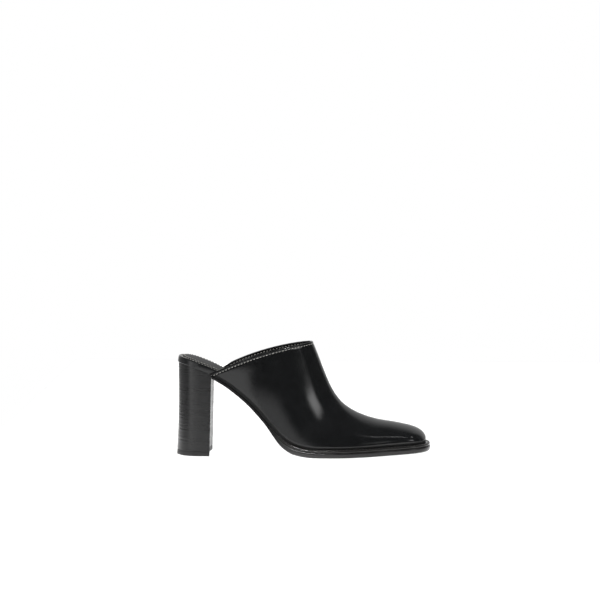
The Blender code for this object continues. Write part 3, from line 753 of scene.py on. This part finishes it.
def make_upper(form, material):
    """The upper's leather, folded over at the topline.

    Outside it is the form itself, drawn in by r - sqrt(r^2 - (r - d)^2) at a distance d under r from the
    edge, where r is half the wall, so that the fold is round, and pressed in by a bell-shaped trough under
    the stitches. Inside it lies one leather's thickness deeper, and two where the facing runs. Near its foot
    it carries painted shade: a dull black band that stands for the shadowed gap above the welt.
    """
    points, normals = form.at(form.rows(NEAR_ROWS, FAR_ROWS))
    away = np.concatenate([NEAR_ROWS, np.full(FAR_ROWS, LENGTH)])[:, None]
    fold = WALL / 2
    round_in = fold - np.sqrt(np.maximum(fold**2 - np.clip(fold - away, 0, fold) ** 2, 0))
    trough = STITCH_TROUGH * np.exp(-(((away - TOPLINE_STITCH) / TROUGH_HALF) ** 2))
    swell = FOLD_SWELL * np.exp(-(((away - TOPLINE_STITCH / 2) / SWELL_HALF) ** 2))
    outside = points - (round_in + trough - swell)[..., None] * normals
    folded = away < FACING
    depth = np.where(folded, WALL - INNER_TROUGH * trough, CALF) - round_in
    inside = points - depth[..., None] * normals
    rise = [np.linalg.norm(outside - outside[:, end, None], axis=-1) for end in (0, -1)]
    # painted shade: dull black along the upper's foot, fading out above it, for the shadowed gap over the
    # welt
    inked = 1 - smooth((np.minimum(*rise) - SHADED_FOOT) / SHADE_FADE)
    inked = np.tile(inked.ravel(), 2)
    add_piece("upper", *stacked([inside, outside]), material, "upper_calf", "upper", inked=inked)


def make_lining(form, material):
    """The lining lies against the inside of the leather, from the facing's lower edge to the insole.

    Its upper edge is pared thin.
    """
    rows = np.linspace(0, 1, LINING_ROWS)[:, None]
    first = form.lengths_at(np.array([FACING + FACING_GAP]))
    points, normals = form.at(first + (form.total - first) * rows)
    under = CALF + EDGE_SEAT
    thick = under + (WALL - EDGE_SEAT - under) * np.clip(rows / LINING_SKIVE, LINING_PARED, 1)
    levels = [points - thick[..., None] * normals, points - under * normals]
    add_piece("lining", *stacked(levels), material, "sock_leather")


def stitch_shape(length, width, height, rings=7, around=8):
    """One stitch as a closed bead (rings, around, 3): its radius follows a flattened half circle along it."""
    along = np.linspace(-1, 1, rings)[:, None]
    angle = np.linspace(0, 2 * np.pi, around, endpoint=False)
    radius = np.sqrt(1 - np.abs(along) ** STITCH_CURVE)
    parts = along * length / 2, radius * np.cos(angle) * width / 2, radius * np.sin(angle) * height
    return np.stack(np.broadcast_arrays(*parts), axis=-1)


def stitch_row(name, path, normals, sizes, flat, material, slot, lean=0.0):
    """A row of stitches along a path, evenly pitched, each lying on its surface and turned along the row.

    flat gives a stitch's width and height as shares of the thread's width.
    """
    lengths = run_lengths(path)
    number = max(int(lengths[-1] / sizes.stitch_pitch), 1)
    at = (np.arange(number) + 0.5) * lengths[-1] / number
    reach = sizes.stitch_pitch / 3
    centre, ahead, behind = (read_along(at + step, lengths, path) for step in (0, reach, -reach))
    along = ahead - behind
    along /= np.linalg.norm(along, axis=-1, keepdims=True)
    normal = read_along(at, lengths, normals)
    normal -= (normal * along).sum(-1, keepdims=True) * along
    normal /= np.linalg.norm(normal, axis=-1, keepdims=True)
    turned = along * np.cos(lean) + np.cross(normal, along) * np.sin(lean)
    axes = np.stack([turned, np.cross(normal, turned), normal], axis=1)
    bead = stitch_shape(sizes.stitch_length, *(share * sizes.stitch_width for share in flat))
    points = centre[:, None, None] + bead @ axes[:, None]
    rings, around = bead.shape[:2]
    ring = np.arange(around)
    start = np.arange(rings - 1)[:, None] * around
    first, after = start + ring, start + (ring + 1) % around
    quads = np.stack([first, after, after + around, first + around], axis=-1).reshape(-1, 4)
    faces = quads + rings * around * np.arange(number)[:, None, None]
    add_piece(name, points.reshape(-1, 3), faces.reshape(-1, 4), material, slot)


def edge_ring(edges, inset, lift, back_open=False):
    """A path round a plan outline, moved in by inset and lifted off the lasted surface, and its normals."""
    outer, inner = grown(*edges, -inset)
    loop = np.concatenate([outer, inner[::-1]])
    lifts = np.concatenate([lift, lift[::-1]])
    if not back_open:
        loop = np.concatenate([loop, loop[:1]])
        lifts = np.append(lifts, lifts[0])
    across, up = sole_normal(loop[:, 0])
    return above_sole(loop, lifts), np.stack([across, 0 * across, up], axis=-1)


def lasted_level(edges, lift, across=25, back_hollow=0.0):
    """A level between two edges, lifted off the lasted surface by one length for each pair of edge points."""
    return above_sole(plan_grid(*edges, across, back_hollow), lift[:, None])


def board_thickness(x):
    """Thickness of the insole's board, from the seat down to the forepart."""
    share = smooth((x - HEEL_FRONT) / (BALL_BACK - HEEL_FRONT))
    return SEAT_BOARD + (FORE_BOARD - SEAT_BOARD) * share


# The wrapped insole from its underside up and then inwards: inset, share of the board's height, drop
INSOLE_PROFILE = (
    (0.0009, 0.00, 0.0),
    (0.0004, 0.03, 0.0),
    (0.0001, 0.09, 0.0),
    (0.0000, 0.20, 0.0),
    (0.0000, 0.50, 0.0),
    (0.0000, 0.78, 0.0),
    (0.0001, 0.90, 0.0),
    (0.0003, 0.96, 0.0),
    (0.0007, 1.00, 0.0),
    (0.0012, 1.00, -0.00005),
    (0.0016, 1.00, 0.00004),
    (0.0019, 1.00, 0.00014),
    (0.0022, 1.00, 0.00004),
    (0.0028, 1.00, 0.0),
    (0.0040, 1.00, 0.0),
)

# The sock from its underside up and then inwards: inset, share of its thickness
SOCK_PROFILE = (
    (0.0, 0.0),
    (0.0, 0.45),
    (0.00012, 0.8),
    (0.0004, 1.0),
    (0.0011, 1.0),
    (0.0015, 0.86),
    (0.0019, 1.0),
)
SEAT_ACROSS = 41


def padded(level):
    """A level of the seat raised to a low crown, 1 - share ** 2 on the way to the sock's edge."""
    x, y = level[..., 0], level[..., 1]
    behind = np.clip(SEAT_MIDDLE - x, 0, None) / (SEAT_MIDDLE - INSOLE_BACK - SOCK_MARGIN)
    share = np.hypot(behind, y / (SEAT_WIDTH / 2 - SOCK_MARGIN))
    level[..., 2] += SEAT_PAD * np.clip(1 - share**2, 0, 1) * (1 - smooth((x - HEEL_FRONT) / SEAT_FADE))
    return level


def make_insole(material):
    """The insole: its edge profile carried round the outline, with a padded top inside it."""
    x = insole_stations(INSOLE_BACK)
    edges = insole_sides(x)
    levels = []
    for inset, share, drop in INSOLE_PROFILE:
        lift = CLEARANCE / 2 + share * (board_thickness(x) + CLEARANCE / 2) - drop
        levels.append(lasted_level(grown(*edges, -inset), lift, SEAT_ACROSS))
    levels[-1] = padded(levels[-1])
    add_piece("insole", *stacked(levels), material, "insole_leather", "insole")


def make_sock(material):
    """The sock: a thin sheet with a rounded edge and a trough for its stitches, raised with the seat."""
    x = insole_stations(INSOLE_BACK)
    edges = insole_sides(x)
    levels = []
    for inset, share in SOCK_PROFILE:
        lift = CLEARANCE + EDGE_SEAT + board_thickness(x) + share * SOCK
        levels.append(padded(lasted_level(grown(*edges, -SOCK_MARGIN - inset), lift, SEAT_ACROSS)))
    add_piece("sock", *stacked(levels), material, "sock_leather", "sock")


def make_seat_stitches(sizes, material):
    """Two rows of stitches on the seat: round the insole's edge, and inside the sock's."""
    x = insole_stations(INSOLE_BACK)
    edges = insole_sides(x)
    flat = (1.2, 0.6)
    lift = CLEARANCE + board_thickness(x)
    rim = edge_ring(edges, SEAT_STITCH, lift - THREAD_SINK)
    stitch_row("insole_stitches", *rim, sizes, flat, material, "insole_leather")
    path, normals = edge_ring(edges, SOCK_MARGIN + SOCK_STITCH, lift + SOCK + EDGE_SEAT)
    stitch_row("sock_stitches", padded(path), normals, sizes, flat, material, "sock_leather")


def heel_stations(end_steps=40, side_steps=26):
    """Shares of the heel's length, from the back at 0 to the breast at 1, close together round the back."""
    seat = SEAT_ROUND / HEEL_LENGTH
    back = seat * (1 - around_end(end_steps, SEAT_CURVE)[::-1])
    return np.concatenate([back[:-1], np.linspace(back[-1], 1, side_steps)])


def heel_plan(share, inset=0.0):
    """The heel's plan at a share of its height, from the floor to the seat, moved in by an inset."""
    along = heel_stations()
    top_x = INSOLE_BACK + (HEEL_LENGTH + HEEL_INSET) * along
    outer, inner = grown(*insole_sides(top_x), -HEEL_INSET)
    outer[0, 0] = inner[0, 0] = HEEL_BACK_RAKE
    foot_x = HEEL_FOOT_LENGTH * along
    cap = rounded((SEAT_ROUND - foot_x) / SEAT_ROUND, SEAT_CURVE)
    half = (HEEL_FOOT_WIDTH - HEEL_FOOT_TAPER * (1 - along)) / 2 * cap
    hollow = 4 * share * (1 - share) * HEEL_BACK_HOLLOW * (1 - along)
    sides = []
    for top, side in ((outer, -1), (inner, 1)):
        foot = np.stack([foot_x, side * half], axis=-1)
        edge = foot * (1 - share) + top * share
        edge[:, 0] += hollow
        sides.append(edge)
    inset = np.broadcast_to(inset, along.shape)
    if inset.any():
        sides = grown(*sides, -inset)
        for side in sides:
            side[:, 0] = np.minimum(side[:, 0], side[-1, 0])
            side[-1, 0] -= inset[-1]
    return plan_grid(*sides, across=31, front_hollow=BREAST_HOLLOW)


def make_heel(sizes, material, steps=5):
    """The stacked heel: each lift bulges between two fine grooves, the sine of its height to a low power.

    The grooves show at the back and are sanded almost away on the flat sides and the breast.
    """
    floor = TOP_LIFT + CLEARANCE / 3
    start = floor / HEEL_HEIGHT
    top = sole_top(heel_plan(1.0)[..., 0]) + CLEARANCE / 3
    layers = round((HEEL_HEIGHT - TOP_LIFT) / sizes.layer)
    kept = 1 - SANDED * smooth((heel_stations() - SANDED_FROM) / SANDED_OVER)
    levels = []
    for share in np.arange(layers * steps + 1) / (layers * steps):
        groove = LAYER_GROOVE * (1 - abs(np.sin(np.pi * share * layers)) ** GROOVE_CURVE) * kept
        plan = heel_plan(start + share * (1 - start), groove + 1e-6)
        height = floor * (1 - share) + top * share
        levels.append(np.concatenate([plan, height[..., None]], axis=-1))
    add_piece("heel", *stacked(levels), material, "stacked_heel", "heel")


# The top lift's edge from the floor up: inset, height
LIFT_PROFILE = (
    (0.0006, 0.0),
    (0.0002, 0.00015),
    (0.00002, 0.0005),
    (0.00002, 0.0046),
    (0.00008, TOP_LIFT),
)


def make_top_lift(material):
    """The wearing piece: the heel's foot in rubber, with a small round at the floor."""
    levels = []
    for inset, height in LIFT_PROFILE:
        plan = heel_plan(height / HEEL_HEIGHT, inset)
        levels.append(np.concatenate([plan, np.full(plan.shape[:2] + (1,), height)], axis=-1))
    add_piece("top_lift", *stacked(levels), material, "top_lift_rubber", "top_lift")


def sole_thickness(x):
    """Thickness of the whole sole edge, thin under the arch and full from the ball on."""
    return SHANK + (SOLE - SHANK) * smooth((x - SWELL_START) / (SWELL_END - SWELL_START))


def welt_thickness(x):
    """Thickness of the welt, which is skived thin at its ends."""
    return WELT_EDGE + (WELT - WELT_EDGE) * smooth((x - WELT_START) / (SWELL_END - WELT_START))


def sole_sides(x, inset):
    """Edges of the sole, which grows out from under the upper towards the ball, moved in by an inset."""
    outer, inner = insole_sides(x)
    full = WELT_MARGIN + TUCK
    shown = smooth((x - SWELL_START) / (WELT_FULL - SWELL_START))
    lasted = CLEARANCE + WALL
    undercut = SHANK / 2 * np.minimum(1, inset / SOLE_BEVEL)
    return grown(outer, inner, lasted + (full - inset) * shown - undercut * (1 - shown))


# The outsole's edge from the tread up: shares of the bevel that it is moved in, and of the edge's height
OUTSOLE_PROFILE = (
    (1.00, 0.00),
    (0.74, 0.05),
    (0.48, 0.13),
    (0.26, 0.26),
    (0.12, 0.42),
    (0.03, 0.58),
    (0.00, 0.70),
    (0.04, 0.78),
    (0.16, 0.85),
    (0.34, 0.91),
    (0.55, 0.96),
    (0.80, 1.00),
)


def make_outsole(material):
    """The outsole: its rounded edge carried round the outline, with a channel line near the tread's edge.

    Under the arch it carries painted shade, dull black for the dark line between upper and sole.
    """
    x = insole_stations(HEEL_FRONT + SHANK * sole_normal(HEEL_FRONT)[0] - CLEARANCE)
    step = WELT_START - WELT_GAP
    x = np.sort(np.append(x, (step - STEP_HALF, step + STEP_HALF)))
    top = -np.where(x > step, welt_thickness(x) + EDGE_SEAT, 0.0)
    bottom = -sole_thickness(x)
    channel = ((CHANNEL + CHANNEL_HALF, 0.0), (CHANNEL, CHANNEL_DEPTH), (CHANNEL - CHANNEL_HALF, 0.0))
    tread = sole_sides(x, SOLE_BEVEL)
    levels = [(grown(*tread, SOLE_BEVEL - inset), bottom + depth) for inset, depth in channel]
    for bevel, share in OUTSOLE_PROFILE:
        levels.append((sole_sides(x, SOLE_BEVEL * bevel), bottom + share * (top - bottom)))
    points, faces = stacked([lasted_level(*level, back_hollow=BREAST_HOLLOW) for level in levels])
    # painted shade: dull black under the arch, fading out towards the ball
    inked = 1 - smooth((points[:, 0] - SWELL_START) / (SWELL_END - SWELL_START))
    add_piece("outsole", points, faces, material, "sole_leather", "outsole", inked=inked)


# The welt's edge from below: shares of the bevel that it is moved in, of the height, and of the wheel's press
WELT_EDGE_PROFILE = (
    (0.55, 0.00, 0.0),
    (0.26, 0.08, 0.0),
    (0.09, 0.22, 0.0),
    (0.05, 0.48, 0.0),
    (0.14, 0.70, 0.0),
    (0.30, 0.86, 0.3),
    (0.50, 0.95, 1.0),
    (0.74, 1.00, 1.0),
    (0.95, 1.00, 0.4),
    (1.20, 1.00, 0.0),
    (1.60, 1.00, 0.0),
)


def make_welt(sizes, material):
    """The welt: its edge profile carried round the forepart, notched by the wheel.

    The wheel presses narrow notches into the upper corner, the fourth power of a cosine along the edge.
    """
    x = insole_stations(WELT_START, side_steps=520, end_steps=90)
    around = [run_lengths(edge) for edge in sole_sides(x, 0.0)]
    levels = []
    for bevel, share, wheel in WELT_EDGE_PROFILE:
        grid = plan_grid(*sole_sides(x, SOLE_BEVEL * bevel), across=9)
        lift = np.broadcast_to((-welt_thickness(x) * (1 - share))[:, None], grid.shape[:2]).copy()
        for length, j in zip(around, (0, -1)):
            lift[:, j] -= wheel * WHEEL_DEPTH * np.cos(np.pi * length / sizes.wheel_pitch) ** 4
        levels.append(above_sole(grid, lift))
    add_piece("welt", *stacked(levels), material, "welt_leather", "welt")


def make_welt_stitches(sizes, material):
    """The stitches that hold the welt, in a row between its edge and the upper."""
    x = insole_stations(WELT_START + STITCHES_BEHIND)
    rail = edge_ring(sole_sides(x, 0.0), WELT_STITCH, 0 * x, back_open=True)
    stitch_row("welt_stitches", *rail, sizes, (1.1, 0.5), material, "welt_leather", lean=0.12)


class MuleSizes(bpy.types.PropertyGroup):
    """Sizes that a user may change."""

    stitch_pitch: FloatProperty(
        name="Stitch pitch", description="From stitch to stitch", default=0.0030, min=0.0015, unit="LENGTH"
    )
    stitch_length: FloatProperty(
        name="Stitch length", description="Thread that shows", default=0.0019, min=0.001, unit="LENGTH"
    )
    stitch_width: FloatProperty(
        name="Thread width", description="Width of the thread", default=0.0007, min=0.0002, unit="LENGTH"
    )
    layer: FloatProperty(
        name="Heel lift", description="Thickness of one lift", default=0.0033, min=0.001, unit="LENGTH"
    )
    wheel_pitch: FloatProperty(
        name="Wheel pitch", description="From notch to notch", default=0.0017, min=0.001, unit="LENGTH"
    )


class MuleColours(bpy.types.PropertyGroup):
    """Colours that a user may change."""

    calf: StringProperty(name="Calf", description="Upper leather, sRGB hex", default="#0c0d0e")
    calf_light: StringProperty(name="Calf, light", description="Its lighter clouds", default="#121314")
    lining: StringProperty(name="Lining", description="Lining and sock, sRGB hex", default="#1b1b1c")
    lining_light: StringProperty(name="Lining, light", description="Rubbed lining", default="#262627")
    sock_light: StringProperty(name="Sock, light", description="Rubbed sock", default="#282828")
    edge: StringProperty(name="Edge", description="Inked sole and welt, sRGB hex", default="#151515")
    edge_light: StringProperty(name="Edge, light", description="The sole's fibres", default="#222121")
    welt_light: StringProperty(name="Welt, light", description="The welt's fibres", default="#242322")
    welt_thread: StringProperty(name="Welt thread", description="Its raised plies", default="#3a3836")
    heel: StringProperty(name="Heel", description="Stacked heel, sRGB hex", default="#171717")
    heel_light: StringProperty(name="Heel, light", description="Its lighter lifts", default="#1e1e1f")
    rubber: StringProperty(name="Top lift", description="Rubber, sRGB hex", default="#191919")
    rubber_light: StringProperty(name="Rubber, light", description="Its stipple", default="#262626")
    thread: StringProperty(name="Thread", description="Sewing thread, sRGB hex", default="#8a8884")
    thread_light: StringProperty(name="Thread, light", description="Raised plies", default="#aaa8a2")
    paper: StringProperty(name="Paper", description="Studio floor, sRGB hex", default="#f4f4f4")


def thread_material(colours):
    """The one light thread of topline and seat, made when it is first called for."""
    name = "waxed_thread"
    return bpy.data.materials.get(name) or waxed_thread(name, colours.thread, colours.thread_light)


class MULE_OT_upper(bpy.types.Operator):
    """Make the upper, its lining and the stitches along the topline"""

    bl_idname = "mule.upper"
    bl_label = "Upper"

    def execute(self, context):
        colours, sizes = context.scene.mule_colours, context.scene.mule_sizes
        form = Form()
        make_upper(form, smooth_calf("box_calf", colours.calf, colours.calf_light, 0.12))
        make_lining(form, lining_leather("lining_leather", colours.lining, colours.lining_light))
        thread = thread_material(colours)
        path, normals = (line[0] for line in form.at(form.lengths_at(np.array([TOPLINE_STITCH]))))
        outside = path - (STITCH_TROUGH - EDGE_SEAT) * normals
        inside = path - (WALL - STITCH_TROUGH / 2) * normals
        for name, row, way in (("topline_stitches", outside, 1), ("facing_stitches", inside, -1)):
            stitch_row(name, row, way * normals, sizes, (1.0, 0.5), thread, "upper_calf", lean=0.1)
        return {"FINISHED"}


class MULE_OT_insole(bpy.types.Operator):
    """Make the wrapped insole, the sock and their stitches"""

    bl_idname = "mule.insole"
    bl_label = "Insole and sock"

    def execute(self, context):
        colours, sizes = context.scene.mule_colours, context.scene.mule_sizes
        make_insole(smooth_calf("wrap_calf", colours.calf, colours.calf_light, 0.18))
        make_sock(lining_leather("sock_leather", colours.lining, colours.sock_light))
        make_seat_stitches(sizes, thread_material(colours))
        return {"FINISHED"}


class MULE_OT_sole(bpy.types.Operator):
    """Make the outsole, the welt and its stitches"""

    bl_idname = "mule.sole"
    bl_label = "Sole and welt"

    def execute(self, context):
        colours, sizes = context.scene.mule_colours, context.scene.mule_sizes
        make_outsole(inked_edge("inked_sole_edge", colours.edge, colours.edge_light, (0.20, 0.30)))
        make_welt(sizes, inked_edge("waxed_welt", colours.edge, colours.welt_light, (0.12, 0.20)))
        make_welt_stitches(sizes, waxed_thread("black_thread", colours.edge, colours.welt_thread))
        return {"FINISHED"}


class MULE_OT_heel(bpy.types.Operator):
    """Make the stacked heel and its top lift"""

    bl_idname = "mule.heel"
    bl_label = "Heel"

    def execute(self, context):
        colours, sizes = context.scene.mule_colours, context.scene.mule_sizes
        make_heel(sizes, stacked_leather("stacked_leather", colours.heel, colours.heel_light, sizes.layer))
        make_top_lift(moulded_rubber("moulded_rubber", colours.rubber, colours.rubber_light))
        return {"FINISHED"}


# The camera: metres from its aim, and the angles that the photograph shows, in degrees
CAMERA_DISTANCE = 3.0
CAMERA_AZIMUTH = 1.46
CAMERA_ELEVATION = 3.98
CAMERA_ROLL = 0.2
FRAME_WIDTH = 0.5508  # what the frame spans at the shoe
SENSOR = 36.0
AIM = (-0.0038, 0.0, 0.1417)

# Softboxes and white walls round the shoe: azimuths from the camera's side towards the toe, elevations,
# softness of their edges, all in degrees, and how bright they are
PANELS = (
    ((-60, -9.5), (-40, 26), (8, 8), 0.80),
    ((-68, -36), (-40, 30), (8, 8), 0.55),
    ((30, 50), (20.2, 34), (12, 5), 3.4),
    ((-160, -66), (-40, 30), (10, 10), 0.22),
    ((-224, -156), (-40, 50), (10, 44), 0.60),
    ((136, 224), (-40, 50), (20, 48), 0.46),
    ((136, 224), (36, 62), (20, 24), 0.18),
)
DARK_ROOM = 0.10

# Lamps with snoots, each for one highlight: where it aims, its azimuth and elevation from there, the half
# width of its pool of light, the lamp's radius and its power in watts
SNOOTS = (
    ((-0.0035, -0.0182, 0.0988), 47, 15.4, 0.010, 0.006, 0.03),
    ((0.0860, -0.0240, 0.0188), 36, 65, 0.034, 0.02, 0.25),
    ((0.0990, -0.0206, 0.0184), 76, 62, 0.030, 0.02, 0.80),
    ((-0.0080, -0.0330, 0.0150), -5, 76, 0.034, 0.03, 60.0),
)
SNOOT_DISTANCE = 1.2

CEILING_STRENGTH = 3.9
CEILING_ANGLE = 20.0  # degrees
PAPER_BEHIND = 0.30  # how far the paper reaches from the middle past the heel, and on the other sides
PAPER_REACH = 0.95


def placed(name, data, aim=(0, 0, 0), azimuth=0.0, elevation=0.0, distance=0.0, roll=0.0):
    """A camera or lamp that looks at its aim from this distance, azimuth and elevation, angles in degrees."""
    azimuth, elevation, roll = np.radians((azimuth, elevation, roll))
    level = np.cos(elevation)
    way = Vector((np.sin(azimuth) * level, -np.cos(azimuth) * level, np.sin(elevation)))
    made = bpy.data.objects.new(name, data)
    made.location = Vector(aim) + way * distance
    made.rotation_mode = "QUATERNION"
    made.rotation_quaternion = (-way).to_track_quat("-Z", "Y") @ Quaternion((0, 0, 1), roll)
    bpy.context.scene.collection.objects.link(made)
    return made


def add_camera():
    """A long lens far away, aimed above the shoe, which the photograph shows low in its frame."""
    lens = bpy.data.cameras.new("camera")
    lens.sensor_width = SENSOR
    lens.lens = SENSOR * CAMERA_DISTANCE / FRAME_WIDTH
    lens.clip_end = 200.0
    angles = (CAMERA_AZIMUTH, CAMERA_ELEVATION)
    bpy.context.scene.camera = placed("camera", lens, AIM, *angles, CAMERA_DISTANCE, CAMERA_ROLL)


def add_ceiling():
    """One wide, soft light from above that whitens the paper, with no shadow and no highlight."""
    data = bpy.data.lights.new("ceiling", "SUN")
    data.energy = CEILING_STRENGTH
    data.angle = np.radians(CEILING_ANGLE)
    data.use_shadow = False
    data.cycles.use_multiple_importance_sampling = False
    placed("ceiling", data, elevation=90.0).visible_glossy = False


def add_snoots():
    """Spot lamps far off, each with a soft cone that covers its pool and nothing else of the shoe."""
    for number, (aim, azimuth, elevation, pool, radius, power) in enumerate(SNOOTS):
        data = bpy.data.lights.new(f"snoot_{number}", "SPOT")
        data.energy = power
        data.shadow_soft_size = radius
        data.spot_size = 2 * np.arctan(pool / SNOOT_DISTANCE)
        data.spot_blend = 1.0
        placed(data.name, data, aim, azimuth, elevation, SNOOT_DISTANCE)


def add_world():
    """A dark studio with bright panels, which the leather reflects, and a white backdrop on every side.

    A panel's brightness is the product of four smooth steps, at its two azimuths and its two elevations.
    """
    world = bpy.data.worlds.new("studio")
    bpy.context.scene.world = world
    world.use_nodes = True
    tree = world.node_tree
    back = tree.nodes["Background"]
    way = add(tree, "ShaderNodeTexCoord")
    parts = add(tree, "ShaderNodeSeparateXYZ", Vector=(way, "Generated"))
    front = add(tree, "ShaderNodeMath", {"operation": "MULTIPLY"}, i0=(parts, "Y"), i1=-1.0)
    azimuth = add(tree, "ShaderNodeMath", {"operation": "ARCTAN2"}, i0=(parts, "X"), i1=(front, 0))
    elevation = add(tree, "ShaderNodeMath", {"operation": "ARCSINE"}, i0=(parts, "Z"))
    total = DARK_ROOM
    for across, upright, edges, bright in PANELS:
        for angle, (low, high), soft in ((azimuth, across, edges[0]), (elevation, upright, edges[1])):
            for start, end in ((low - soft / 2, low + soft / 2), (high + soft / 2, high - soft / 2)):
                start, end = np.radians((start, end)).tolist()
                shape = {"interpolation_type": "SMOOTHSTEP"}
                step = add(tree, "ShaderNodeMapRange", shape, Value=(angle, 0), From_Min=start, From_Max=end)
                bright = (add(tree, "ShaderNodeMath", {"operation": "MULTIPLY"}, i0=bright, i1=(step, 0)), 0)
        total = (add(tree, "ShaderNodeMath", {"operation": "ADD"}, i0=bright, i1=total), 0)
    seen = (add(tree, "ShaderNodeLightPath"), "Is Camera Ray")
    tone = add(tree, "ShaderNodeMix", {"data_type": "FLOAT"}, i0=seen, i2=total, i3=1.0)
    tree.links.new(tone.outputs[0], back.inputs["Strength"])
    back.inputs["Color"].default_value = (1, 1, 1, 1)


def add_floor(colour):
    """The paper: one flat sheet, which ends where the leather should no longer mirror it."""
    back, reach = -PAPER_BEHIND, PAPER_REACH
    corners = [(back, -reach, 0), (reach, -reach, 0), (reach, reach, 0), (back, reach, 0)]
    mesh = bpy.data.meshes.new("paper")
    mesh.from_pydata(corners, [], [(0, 1, 2, 3)])
    mesh.materials.append(studio_paper("studio_paper", colour))
    paper = bpy.data.objects.new("paper", mesh)
    bpy.context.scene.collection.objects.link(paper)


class MULE_OT_stage(bpy.types.Operator):
    """Make the camera, the lights and the paper floor"""

    bl_idname = "mule.stage"
    bl_label = "Stage"

    def execute(self, context):
        add_camera()
        add_world()
        add_floor(context.scene.mule_colours.paper)
        add_ceiling()
        add_snoots()
        context.scene.view_settings.view_transform = "Standard"
        return {"FINISHED"}


class MULE_PT_panel(bpy.types.Panel):
    """Lists the steps and the sizes"""

    bl_idname = "MULE_PT_panel"
    bl_label = "Block-Heel Mule"
    bl_space_type = "VIEW_3D"
    bl_region_type = "UI"
    bl_category = "Mule"

    def draw(self, context):
        for step in STEPS:
            self.layout.operator(step.bl_idname)
        for group in (context.scene.mule_sizes, context.scene.mule_colours):
            for name in group.__annotations__:
                self.layout.prop(group, name)


STEPS = (MULE_OT_stage, MULE_OT_upper, MULE_OT_insole, MULE_OT_sole, MULE_OT_heel)
CLASSES = (MuleSizes, MuleColours, *STEPS, MULE_PT_panel)


def register():
    """Register the classes and hang the two groups on the scene."""
    for part in CLASSES:
        bpy.utils.register_class(part)
    bpy.types.Scene.mule_sizes = PointerProperty(type=MuleSizes)
    bpy.types.Scene.mule_colours = PointerProperty(type=MuleColours)


def unregister():
    """Take back what register did, in reverse."""
    del bpy.types.Scene.mule_colours
    del bpy.types.Scene.mule_sizes
    for part in reversed(CLASSES):
        bpy.utils.unregister_class(part)


def main():
    """Make the stage and the shoe."""
    register()
    bpy.ops.mule.stage()
    bpy.ops.mule.upper()
    bpy.ops.mule.insole()
    bpy.ops.mule.sole()
    bpy.ops.mule.heel()


if __name__ == "__main__":
    main()
